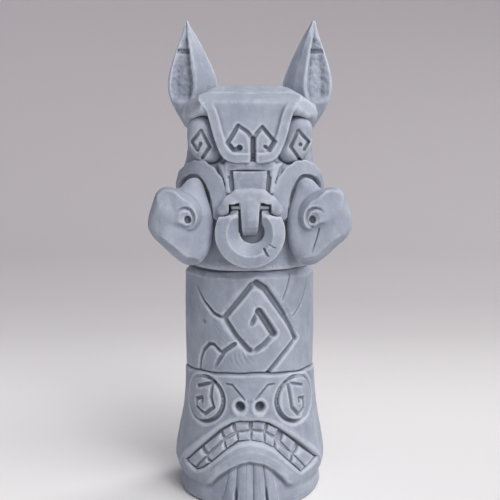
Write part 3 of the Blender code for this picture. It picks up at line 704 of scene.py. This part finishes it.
def lower_block():
    def place(angle, share):
        top = seam_height(angle)
        z = share * top
        radius = face_radius(angle, z)
        s = np.radians(angle) * FACE_R
        socket = np.minimum.reduce(tooth_distances(s, z)) - TOOTH_GAP
        for side in (-1, 1):
            socket = np.minimum(socket, eye_distance(s, z, side) - EYE_GAP)
        floor = base_radius(angle, z) - POCKET_DEPTH
        pocket = ease(-0.3, -1.2, socket)
        radius = radius + (np.minimum(radius, floor) - radius) * pocket
        share_b = beard_share(angle, z)
        edge = np.minimum(share_b, 4 - share_b)
        hung = ease(0.03, 0.25, edge) * ease(-0.6, -1.8, z - curve(LIP_EDGE, angle))
        radius = radius - 2.6 * hung
        radius -= 1.5 * ease(top - 1.8, top, z) ** 2
        radius = radius - 1.2 * ease(1.6, 0.0, z) ** 2
        return around(angle, radius, z)

    rows = np.concatenate([[0, 0.004, 0.009], np.linspace(0.015, 0.985, 156), [0.991, 0.996, 1.0]])
    shell("lower_block_carved", front_angles(0.62, 1.6), rows, place, "lower_block")


def sheet_pair(s_grid, z_grid, depth):
    """A sheet on the carved surface, and the same sheet further in."""
    angle = np.degrees(s_grid / FACE_R)
    radius = face_radius(angle, z_grid)
    back = np.minimum(base_radius(angle, z_grid) - depth, radius - 0.8)
    return around(angle, radius, z_grid), around(angle, back, z_grid)


def lower_inlays():
    v, u = np.meshgrid(np.linspace(0, 1, 22), np.linspace(0, 1, 26), indexing="ij")
    rows = {"upper_tooth": UPPER_TEETH, "lower_tooth": LOWER_TEETH}
    for row, teeth in rows.items():
        for number, tooth in enumerate(teeth, 1):
            a, b, c, d = (np.array(p) for p in unroll(tooth, FACE_R))
            middle = (a + b + c + d) / 4
            out = [(p - middle) / np.linalg.norm(p - middle) for p in (a, b, c, d)]
            a, b, c, d = (p + way * TOOTH_SPREAD for p, way in zip((a, b, c, d), out))
            top = a[:, None, None] * (1 - u) + b[:, None, None] * u
            foot = d[:, None, None] * (1 - u) + c[:, None, None] * u
            s, z = foot * (1 - v) + top * v
            inlay(f"{row}_{number}", *sheet_pair(s, z, TOOTH_DEPTH), INLAY)
    v, u = np.meshgrid(np.linspace(-1, 1, 60), np.linspace(-1, 1, 60), indexing="ij")
    for side, label in ((-1, "left"), (1, "right")):
        s = (EYE_SIZE[0] + EYE_SPREAD) * u * np.sqrt(1 - v * v / 2)
        s = side * math.radians(EYE_ANGLE) * FACE_R + s
        z = EYE_HEIGHT + (EYE_SIZE[1] + EYE_SPREAD) * v * np.sqrt(1 - u * u / 2)
        inlay(f"{label}_lower_eye", *sheet_pair(s, z, EYE_DEPTH), INLAY)
    v, u = np.meshgrid(np.linspace(0, 1, 70), np.linspace(0, 1, 120), indexing="ij")
    t = 1 - v
    angle = (BEARD_TOPS[0] + (BEARD_FEET[0] - BEARD_TOPS[0]) * t) * (1 - u)
    angle += (BEARD_TOPS[-1] + (BEARD_FEET[-1] - BEARD_TOPS[-1]) * t) * u
    z = 0.4 + (curve(LIP_EDGE, angle) - 0.8 - 0.4) * v
    angle = angle * 0.985
    inlay("beard", *sheet_pair(np.radians(angle) * FACE_R, z, BEARD_DEPTH), STONE)


# DRUM
DRUM_R = 41.0
LEDGE_FOOT = 143.6
LEDGE_TOP = 148.7
SHELF = 146.2
SHELF_RISE = 1.8
LEDGE_SLOPE = 2.2
LEDGE_STEP = 1.8
DRUM_WAIST = 40.6
DRUM_SWELL = 0.5
LEFT_SWELL = 0.9
# Path, width, depth and wall of each stroke, and the shares over which it fades at its ends.
DRUM_STROKES = [
    ([(-23, 119.4), (-10, 130.4), (1, 140), (5.5, 141.2)], 3.2, 2.5, 1.5),
    ([(5.5, 141.2), (13, 137.8), (31.6, 120)], 4.2, 3.6, 1.2),
    ([(31.6, 120), (38.6, 112), (43.9, 104.6)], 3.6, 3.2, 1.3),
    ([(43.5, 104.6), (29, 94.8), (13, 82.4)], 2.8, 2.4, 1.6),
    ([(-23, 119.4), (-12, 108), (-1.5, 99.8), (3.4, 98.4)], 3.2, 2.5, 1.6, 0.02, 0.1),
    ([(2, 97.8), (12, 102.8), (21, 109.4)], 3.0, 2.0, 1.8, 0.2, 0.0),
    ([(8, 143.4), (14, 139.4), (34.6, 121.6), (47, 105)], 2.0, 1.6, 4.0, 0.1, 0.1),
    ([(-24.5, 121), (-11, 132.4), (2, 142.2)], 1.6, 1.0, 4.0, 0.1, 0.1),
    ([(-25, 118), (-13, 106.4), (-1, 98)], 1.4, 0.9, 3.6, 0.1, 0.1),
    ([(21, 109.4), (14, 117), (7.6, 123.6)], 4.4, 4.0, 1.0),
    ([(7.6, 123.6), (3.6, 119), (0.4, 114)], 2.6, 2.5, 1.6, 0.0, 0.3),
    ([(-11, 104.4), (-25.5, 96.9)], 2.6, 2.0, 0.9, 0.2, 0.0),
    ([(-22.5, 98.6), (-33.5, 86)], 2.4, 1.7, 1.2, 0.0, 0.45),
    ([(-51, 82), (-48.6, 91), (-45, 96.9), (-38, 101.6), (-33, 101.6), (-25.5, 96.9)], 2.1, 2.0, 0.8, 0.05, 0.0),
    ([(-55.5, 138.4), (-44.5, 128.6), (-33, 121.2), (-24.5, 119)], 2.0, 2.0, 1.0, 0.6, 0.0),
    ([(38.5, 146.7), (33.4, 136), (27, 126.3)], 1.1, 1.0, 0.7, 0.1, 0.3),
    ([(62, 142), (54.5, 129.4), (47, 123), (38, 117.6)], 1.2, 1.1, 0.7, 0.4, 0.1),
    ([(7, 124.7), (2.5, 129.6)], 0.8, 0.6, 0.6, 0.0, 0.8),
    ([(20.5, 109.6), (25, 107.4)], 1.0, 0.8, 0.6, 0.0, 0.8),
    ([(-47, 115.6), (-41, 114.6)], 3.0, 0.9, 2.6, 0.4, 0.4),
    ([(-30, 111), (-18.5, 104.4)], 0.5, 0.35, 0.6, 0.3, 0.3),
    ([(-28, 107.6), (-19.4, 101.2)], 0.5, 0.3, 0.6, 0.3, 0.3),
    ([(-33, 114), (-21, 108)], 0.5, 0.3, 0.6, 0.3, 0.3),
    ([(-14.6, 100), (-12.8, 92), (-7.6, 87)], 0.6, 0.4, 0.7, 0.3, 0.4),
    ([(-11.6, 101.4), (-9, 93), (-3.4, 88)], 0.6, 0.4, 0.7, 0.3, 0.4),
    ([(-8.4, 101.6), (-4.6, 94), (0.6, 89.4)], 0.6, 0.45, 0.7, 0.2, 0.4),
    ([(-5.4, 101), (-0.6, 94.6), (5, 90.4)], 0.6, 0.4, 0.7, 0.2, 0.4),
    ([(-18, 97.4), (-16.8, 91), (-13, 87)], 0.5, 0.35, 0.7, 0.3, 0.4),
]


def drum():
    def place(angle, share):
        foot = seam_height(angle) + 0.35
        z = foot + (LEDGE_TOP - foot) * share
        s = np.radians(angle) * DRUM_R
        points = around(angle, DRUM_R, z)
        radius = DRUM_WAIST + DRUM_SWELL * np.sin(np.pi * share) + hand_marks(points, 1, 0.7)
        radius = radius - strokes(s, z, [(unroll(path, DRUM_R), *rest) for path, *rest in DRUM_STROKES])
        turn = np.radians(angle)
        ledge = LEDGE_FOOT + 0.5 * np.sin(turn * 4 + 0.6) + 0.3 * np.sin(turn * 11)
        shelf = SHELF + SHELF_RISE * ease(-40, 5, angle) * ease(175, 110, angle)
        sloped = LEDGE_SLOPE * np.clip((z - ledge) / (shelf - ledge), 0, 1)
        radius -= sloped + LEDGE_STEP * ease(shelf, shelf + 0.7, z)
        radius += LEFT_SWELL * ease(-30, -85, angle) * ease(-175, -115, angle)
        radius -= 0.9 * ease(1.4, 0.0, z - foot) ** 2
        return around(angle, radius, z)

    rows = np.concatenate([[0, 0.006, 0.012], np.linspace(0.02, 1.0, 132)])
    shell("middle_drum_carved", front_angles(0.66, 1.5), rows, place, "middle_drum")


# HEAD: u is the distance from the middle, where both sides are alike.
# Height, half width, depth to the front and to the back, and how square the section is.
HEAD_SECTIONS = [
    (148, 39.2, 42.6, 39.0, 2.1),
    (152, 39.6, 42.8, 39.6, 2.2),
    (156, 39.6, 41.4, 40.0, 2.3),
    (166, 40.2, 40.8, 40.2, 2.4),
    (178, 40.8, 41.2, 40.6, 2.5),
    (188, 42.6, 42.0, 41.0, 2.5),
    (200, 43.6, 40.6, 41.6, 2.5),
    (206, 42.8, 40.2, 41.4, 2.6),
    (214, 40.2, 39.8, 41.2, 2.7),
    (222, 39.0, 39.6, 41.0, 2.8),
    (236, 39.2, 39.6, 40.4, 2.9),
    (246, 40.4, 40.0, 39.6, 3.0),
    (252, 40.4, 39.4, 38.6, 3.0),
    (262, 38.0, 38.0, 36.6, 3.0),
]
HEAD_FOOT = 149.1
HEAD_TOP = 259.6
BROW_ARCH = [
    (21, -38.4, 247.6), (27.6, -38.8, 247.2), (32.6, -35.2, 245.4), (36, -27, 242.8),
    (37.2, -14, 240),
]
BROW_ARCH_RADII = [4.8, 4.9, 4.7, 4.2, 3.4]
SHOULDER = [(23, -32, 249), (32, -22, 248.4), (34, -10, 248)]
SHOULDER_RADII = [6.0, 6.0, 5.0]
# The eye socket, its foot and the hollow of the cheek: middle, radii and fillet.
HOLLOWS = [
    ((27.4, -36, 228.4), (10.8, 11.4, 13.6), 1.2),
    ((24.2, -38, 219.4), (8.6, 8.0, 7.2), 1.2),
    ((31.4, -39, 195), (8.2, 11, 12.4), 1.0),
]
# The bridge of the nose, its ledge and its panel: outline, front, back, rounding and fillet.
BRIDGE = [
    ([(-19, 214), (19, 214), (16.5, 194), (-16.5, 194)], -42.6, -34, 2.0, 1.5),
    ([(-14.6, 215), (14.6, 215), (14.0, 209.8), (-14.0, 209.8)], -45.0, -36, 0.9, 0.5),
    ([(-10.3, 209.4), (10.0, 209.4), (9.2, 196), (-9.2, 196)], -45.3, -36, 0.7, 0.5),
]
BRACKET = [(11.6, 213), (14.4, 213), (13.9, 207.2), (11.8, 206.2)]
STRIP = [(14.2, 213.4), (17.4, 212.6), (14.2, 196), (11.6, 196)]


def head_shape(x, y, z):
    """The plain head, before anything is cut into it."""
    heights, *rest = (np.array(column, dtype=float) for column in zip(*HEAD_SECTIONS))
    width, front, back, power = (np.interp(z, heights, column) for column in rest)
    depth = np.where(y < 0, front, back)
    share = ((np.abs(x) / width) ** power + (np.abs(y) / depth) ** power) ** (1 / power)
    return (share - 1) * np.minimum(width, depth)


def forehead(y, z):
    """The slope from the crown down to the brow: more than 0 above it."""
    return (z - 259.4) * 0.81 - (y + 31.5) * 0.586


def crown(u, y, z):
    """The top of the head: level in the middle, sloping to the brow and to the ears."""
    top = trim(forehead(y, z), z - HEAD_TOP, 1.2)
    return trim(top, (z - 259.2) * 0.86 + (u - 21.5) * 0.5, 2.5)


def head_field(x, y, z):
    u = np.abs(x)
    arch = limb(u, y, z, BROW_ARCH, BROW_ARCH_RADII, 3.0)
    arch = trim(arch, 0.79 * u - 0.54 * y + 0.29 * z - 118.6, 1.2)
    body = merge(head_shape(x, y, z), arch, 5.0)
    body = merge(body, limb(u, y, z, SHOULDER, SHOULDER_RADII), 5.0)
    for centre, radii, soft in HOLLOWS:
        body = cut(body, ball(u, y, z, centre, radii), soft)
    for outline, front, back, edge, soft in BRIDGE:
        body = merge(body, slab(x, y, z, outline, front, back, edge), soft)
    body = merge(body, slab(u, y, z, BRACKET, -44.4, -36, 0.5), 0.3)
    body = merge(body, slab(u, y, z, STRIP, -44.4 + 0.35 * (u - 14), -36, 0.7), 1.2)
    wrinkles = stroke(x, z, [(-7.4, 200.4), (0, 199.8), (7, 200.6)], 0.7, 0.5, 0.6, 0.2, 0.2)
    slits = stroke(x, z, [(-19.0, 212.0), (-15.0, 199.4)], 1.5, 2.6, 0.7, 0.1, 0.2)
    slits = np.maximum(slits, stroke(x, z, [(19.0, 212.2), (15.2, 201)], 1.5, 2.4, 0.7, 0.1, 0.2))
    body = body + (wrinkles + slits) * ease(-40, -42, y)
    body = trim(body, crown(u, y, z), 1.2)
    return trim(body, HEAD_FOOT - z, 0.8)


PLATE = [
    (0, 214.2), (8, 214.2), (12.6, 215.2), (15.6, 217), (17.6, 219.6), (19.6, 224), (21.4, 229),
    (22.8, 234), (24, 239), (25.6, 243.6), (28.2, 247.4), (30.6, 250.4), (34, 268),
]
PLATE_FACE = -43.1
PLATE_BAND = 1.9
# Path, width and depth of the two hooks and the slit on the brow plate.
HOOKS = [
    ([(1.9, 227.6), (-1.6, 232.4), (-7.0, 236.0)], 2.2, 1.8),
    ([(-7.0, 236.0), (-10.6, 230), (-13.2, 225.9)], 2.2, 2.3),
    ([(-13.2, 225.9), (-9.6, 221.8), (-6.4, 222.4)], 2.3, 2.4),
    ([(1.9, 227.6), (4.0, 231.6), (7.2, 235.2)], 2.1, 1.8),
    ([(7.2, 235.2), (11, 230.6), (14.4, 226.8)], 2.1, 2.2),
    ([(14.4, 226.8), (11.4, 221.8)], 2.4, 2.4),
    ([(11.4, 221.8), (8.8, 223.8)], 1.9, 2.0),
    ([(1.8, 228.4), (1.8, 213)], 2.9, 6.0),
]


def plate_field(x, y, z):
    outline = PLATE + [(-a, b) for a, b in reversed(PLATE[1:])]
    depth_in = -outline_distance(x, z, outline)
    band = ease(6.8, 5.4, depth_in) * ease(251, 245, z)
    front = PLATE_FACE - 3.9 * np.clip((252 - z) / 36, 0, 1) - PLATE_BAND * band
    front = front - 0.9 * ease(238, 250, z) + 0.9 * ease(9, 0, depth_in)
    carved = strokes(x, z, [(*line, 0.9) for line in HOOKS])
    carved = np.maximum(carved, 3.4 * ease(2.1, 1.2, np.hypot(x + 6.2, z - 223)))
    body = slab(x, y, z, outline, front, -35.5, 0.9)
    body = body + carved * ease(-40, -42, y)
    return trim(body, crown(np.abs(x), y, z) - 0.1, 1.4)


EYE_STROKES = {
    -1: [
        [(28.9, 233), (34.2, 227), (34.4, 226), (31.4, 221.4), (29.3, 225.4)],
        [(28.8, 232.9), (23.9, 223.4), (28.4, 217)],
    ],
    1: [
        [(28.5, 233), (34.9, 226.4), (32.4, 221.8)],
        [(28.2, 232.8), (24.2, 223.3), (29.7, 216)],
    ],
}


def eye_field(side):
    def field(x, y, z):
        u = side * x
        bulb = ball(u, y, z, (28.4, -31.4, 228.6), (9.2, 9.6, 13.3))
        bulb = merge(bulb, ball(u, y, z, (29.2, -32.4, 234.0), (7.4, 9.2, 7.6)), 3.0)
        bulb = merge(bulb, ball(u, y, z, (24.2, -32.6, 219.8), (7.8, 7.4, 6.4)), 3.0)
        carved = strokes(u, z, [(path, 1.9, 1.8, 0.9) for path in EYE_STROKES[side]])
        if side > 0:
            carved = np.maximum(carved, 1.6 * ease(1.5, 0.7, np.hypot(u - 29.9, z - 224.8)))
        return bulb + carved * ease(-26, -30, y)

    return field


CHEEK = [
    (44.0, -14, 190), (44.0, -16, 199), (42.8, -21, 205.2), (39, -28.6, 209.4),
    (34, -34.4, 211.2), (29.2, -37.8, 210.8), (24.8, -39.8, 207.4), (21.2, -41, 202),
    (18.8, -42, 195.6), (18.4, -42.4, 188.6), (19.8, -41.6, 182.6),
]
CHEEK_RADII = [3.4, 3.4, 3.5, 3.6, 3.8, 4.1, 4.6, 5.0, 5.0, 4.0, 2.6]


def cheek_field(side):
    def field(x, y, z):
        u = side * x
        band = limb(u, y, z, CHEEK, CHEEK_RADII, 1.5)
        return trim(band, head_shape(u, y, z) - 3.6, 0.9)

    return field


# The pin that the ring hangs on: its y and z.
PIVOT = (-48.0, 188.3)
WING = [(0, -48.6, 195.8), (6.6, -49.4, 194.8), (11.8, -49.2, 191.2), (16.0, -47.0, 186.6)]
WING_RADII = [3.8, 3.9, 4.0, 3.8]
OPENING = 4.3
OPENING_SIDES = (6.35, 12.6)
PIN_BORE = 1.95
SEPTUM = [
    (-50.6, 197), (-52.4, 193), (-53, 186), (-52.6, 181), (-50.8, 176.6), (-48, 173.4),
    (-44.6, 171.2), (-42, 170.6), (-41.6, 177), (-43.5, 183), (-43.5, 197),
]


def snout_field(x, y, z):
    u = np.abs(x)
    nose = ball(x, y, z, (0, -43.4, 191.6), (12.6, 8.4, 8.0))
    nose = merge(nose, limb(u, y, z, WING, WING_RADII, 2.0), 1.6)
    nose = trim(nose, -52.0 - 0.05 * (194 - z) - y, 2.4)
    nose = cut(nose, limb(u, y, z, [(8.4, -55, 183.6), (8.8, -46, 186.2)], [3.2, 2.8]), 0.5)
    opening = np.maximum(np.hypot(y - PIVOT[0], z - PIVOT[1]) - OPENING, OPENING_SIDES[0] - u)
    nose = cut(nose, np.maximum(opening, u - OPENING_SIDES[1]), 0.3)
    half = np.interp(z, [168, 176, 194], [3.9, 4.9, 6.0])
    ridge = 0.16 * np.abs(x + 0.8)
    strap = slab(y - ridge, x, z, SEPTUM, -half, half, 0.6)
    return merge(nose, strap, 0.5)


RING_Z = 172.8
# The hole's middle, across and up from the ring's own, and its radius.
RING_HOLE = (1.6, 0.6, 7.1)
SEPTUM_SLOT = 6.8
NECK_SPLIT = 12.0
# A half section of the dished ring: distance from its middle, and y.
RING_SECTION = [
    (6.0, -46.0), (13.4, -51.7), (13.8, -52.1), (19.8, -50.2), (20.9, -49.8), (20.9, -45.4),
    (20, -44.6), (7.0, -44.6), (6.0, -45.4),
]


def ring_field(x, y, z):
    r = np.hypot(x, z - RING_Z)
    body = outline_distance(r, y, RING_SECTION)
    hole = np.hypot(x - RING_HOLE[0], z - RING_Z - RING_HOLE[1]) - RING_HOLE[2]
    body = cut(body, hole, 0.3)
    end = np.hypot(y - PIVOT[0], z - PIVOT[1]) - (OPENING - 0.6)
    body = np.maximum(body, np.where(z > PIVOT[1], end, body))
    body = cut(body, limb(np.abs(x), y, z, WING, WING_RADII, 2.0) - 0.5, 0.3)
    body = body + 2.6 * ease(182, 186, z) * ease(-47.4, -49.6, y)
    body = cut(body, np.maximum(np.abs(x) - SEPTUM_SLOT, RING_Z - z), 0.3)
    body = cut(body, np.maximum(PIVOT[1] - OPENING - z, NECK_SPLIT - np.abs(x)), 0.3)
    body = np.maximum(body, PIN_BORE - np.hypot(y - PIVOT[0], z - PIVOT[1]))
    crack = stroke(x, z, [(8.4, 163.4), (10, 160.2), (11.4, 158.2)], 1.4, 1.5, 0.7, end=0.4)
    crack = np.maximum(crack, stroke(x, z, [(11.6, 166.2), (13.8, 164.6), (14.8, 164.4)], 0.8, 0.9, 0.6))
    return body + crack * ease(-47, -49, y)


TUSK = [
    (28.4, 204.0), (26.8, 198), (24.6, 190.9), (21.8, 180.5), (22.3, 170), (25.2, 159.6),
    (31, 153.0), (37.6, 152.0), (45.1, 157.4), (50.7, 163.2), (58.8, 170.6), (61.8, 177.8),
    (58.8, 189.8), (53.4, 197.8), (48.1, 199.0), (42.4, 198.2), (40.2, 201.4), (37.2, 204.6),
    (33, 206),
]
CURL = [
    (56, 194), (53.2, 197.6), (48.1, 198.9), (41.6, 197.7), (34.9, 194.6), (30.2, 189.6),
    (28.4, 182.8), (30.2, 177.0), (34.8, 173.8), (40, 175.4), (44, 179), (52, 184),
]
VOLUTE = (36.8, 181)
TUSK_FACE = -46.4
CURL_FACE = -53.2
CURL_BEVEL = 2.7
WINDING = [(44, 185), (41, 187.6), (37.4, 188), (34.2, 186.2), (32.8, 181.8), (34.2, 178), (36.6, 177)]


def tusk_field(side):
    def field(x, y, z):
        u = side * x
        lean = 0.09 * (z - 176)
        front = TUSK_FACE - 4.8 * ease(26, 52, u) + 2.0 * ease(50, 62, u)
        front = front + 5.0 * ease(182, 204, z) + lean
        body = slab(u, y, z, rounded(TUSK), front, -33.5, 6.0)
        fade = ease(39, 52, u)
        winding = stroke(u, z, rounded(WINDING, False), 2.0, 1.3, 1.2, 0.35, 0.0)
        face = CURL_FACE + lean + 3.4 * fade + 1.4 * winding
        hole = np.hypot(u - VOLUTE[0], (z - VOLUTE[1]) * 0.8)
        face = face + 1.4 * ease(5.2, 2.2, hole) + 5.0 * ease(2.4, 1.2, hole)
        curl = slab(u, y, z, rounded(CURL), face, -40, 1.2)
        edge = outline_distance(u, z, rounded(CURL))
        bevel = 0.9 * edge + 0.45 * (face - y) + CURL_BEVEL - 6.0 * fade
        body = merge(body, trim(curl, bevel, 0.8), 0.7 + 5.0 * fade)
        facet = (u - 47) * 0.47 + (-50.8 - y) * 0.62 + (166.4 - z) * 0.63
        body = trim(body, facet, 0.5)
        body = trim(body, (-50.4 - y) * 0.58 + (159.4 - z) * 0.81, 0.6)
        if side > 0:
            path = [(41, 176), (39.6, 170), (37.6, 164), (36.4, 160.4)]
            crack = stroke(u, z, path, 0.7, 1.3, 0.6, end=0.3)
            body = body + crack * ease(-40, -44, y)
        return body

    return field


# Height; distance across of the outer edge, the ridge and the inner edge; y of the tip and the back.
EAR_SECTIONS = [
    (234, 39.6, 39.0, 36.0, -2.0, 1.0),
    (240, 44.0, 40.6, 34.0, -6.0, 3.6),
    (247, 48.2, 38.4, 26.0, -9.5, 6.5),
    (256, 51.2, 34.2, 20.6, -11.5, 8.0),
    (264, 51.2, 34.4, 21.0, -11.0, 8.0),
    (273, 49.0, 35.8, 24.6, -9.5, 7.0),
    (283, 45.6, 37.4, 29.4, -7.5, 5.4),
    (292, 42.2, 38.8, 34.2, -4.6, 3.4),
    (300, 40.2, 39.9, 39.6, -0.6, 0.6),
]


def ear_field(side):
    def field(x, y, z):
        u = side * x
        heights, *rest = (np.array(column, dtype=float) for column in zip(*EAR_SECTIONS))
        steps = [z + 1.5 * k for k in range(-3, 4)]
        smoothed = (sum(np.interp(h, heights, column) for h in steps) / 7 for column in rest)
        outer, ridge, inner, tip, back = smoothed
        open_ear = ease(249, 256, z) * ease(293, 286, z)
        span = outer - ridge
        rim = tip * 0.45 - 0.8
        hollow = (1 - open_ear) * (rim + tip) / 2 - open_ear * 3.2
        corner = tip + (0.4 + 4.6 * open_ear)
        outline = [
            (outer, rim + 1.4),
            (outer - 0.07 * span, rim),
            (ridge + 0.62 * span, hollow),
            (ridge + 0.14 * span, np.minimum(corner + 0.6, hollow + 0.8)),
            (ridge + 0.03 * span, tip + 0.5),
            (ridge - 0.06 * span, tip),
            ((ridge + inner) / 2, (tip - 0.5) / 2 - 1.6),
            (inner, -0.4),
            ((ridge + inner) / 2, back * 0.9),
            (ridge + 0.4 * span, back),
        ]
        body = outline_distance(u, y, outline) - 0.3
        painted_side_shade = (u - ridge) / (span + 0.01)
        inside = ease(0, 0.12, painted_side_shade) * ease(0.98, 0.84, painted_side_shade) * open_ear
        inside = inside * ease(hollow + 2.2, hollow + 1.0, y)
        notch = ease(279.6, 280.4, z) * ease(283.2, 282.2, z)
        body = body + inside * 1.3 * notch
        rough = np.broadcast_to(inside, body.shape)
        near = (np.abs(body) < 1.5) & (rough > 0.02)
        i, j, k = np.nonzero(near)
        at = np.stack([x.ravel()[i], y.ravel()[j], z.ravel()[k]], -1)
        texture = 0.32 * grain(at, 2.4, 1) + 0.22 * grain(at, 1.2, 2)
        texture = texture + 0.4 * (0.4 - gouges(at, 3.6, 3))
        body = np.array(body)
        body[near] += texture * rough[near]
        return np.maximum(body, np.maximum(z - 300.2, 234.6 - z))

    return field


# The pieces that come in pairs, given for the right: piece, corners of its box, step, field, slot,
# layer of the noise and strength of the tool marks.
PAIRS = [
    ("upper_eye", (14, -42, 211), (42, -18, 243), 0.42, eye_field, INLAY, 2, 0.5),
    ("cheek_band", (12, -50, 178), (50, -8, 219), 0.45, cheek_field, STONE, 3, 0.7),
    ("tusk", (18, -56, 149), (65, -31, 207), 0.5, tusk_field, STONE, 1, 0.8),
    ("ear", (16, -15, 234), (54, 11, 302), 0.42, ear_field, STONE, 2, 0.6),
]


def head_pieces():
    carve("upper_block", (-48, -47, 148), (48, 43, 262), 0.78, head_field)
    carve("brow_plate", (-36, -52, 212), (36, -34, 258), 0.42, plate_field, marks=0.6)
    carve("snout", (-22, -56, 169), (22, -33, 202), 0.42, snout_field, layer=1, marks=0.4)
    carve("nose_ring", (-23, -54, 150), (23, -42, 195), 0.42, ring_field, body=RING, layer=2, marks=0.35)
    for side, label in ((-1, "left"), (1, "right")):
        for piece, low, high, step, field, slot, layer, marks in PAIRS:
            near, far = (low[0], high[0]) if side > 0 else (-high[0], -low[0])
            low, high = (near, *low[1:]), (far, *high[1:])
            carve(f"{label}_{piece}", low, high, step, field(side), slot, layer=layer, marks=marks)


make_camera()
make_lights()
make_floor()
# Each slot's material. For stone: its colour, the paler colour of streaks and of worn edges with their painted
# highlight, and the dark colour, half of which is the painted shade in hollows.
stone_colours = ((0.325, 0.355, 0.425), (0.50, 0.535, 0.61), (0.235, 0.262, 0.33))
inlay_colours = ((0.335, 0.365, 0.435), (0.51, 0.545, 0.615), (0.25, 0.275, 0.34))
LOOKS = {
    STONE: stone_material("carved_stone_wear_and_painted_shade", *stone_colours),
    INLAY: stone_material("inlaid_stone_wear_and_painted_shade", *inlay_colours),
    STEEL: steel_material("pin_steel_drawn"),
}
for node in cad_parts.values():
    slot = node.data.materials[0].name if node.data.materials else ""
    node.data.materials.clear()
    node.data.materials.append(LOOKS[STEEL if "steel" in slot else INLAY if "inlaid" in slot else STONE])

lower_block()
lower_inlays()
drum()
head_pieces()
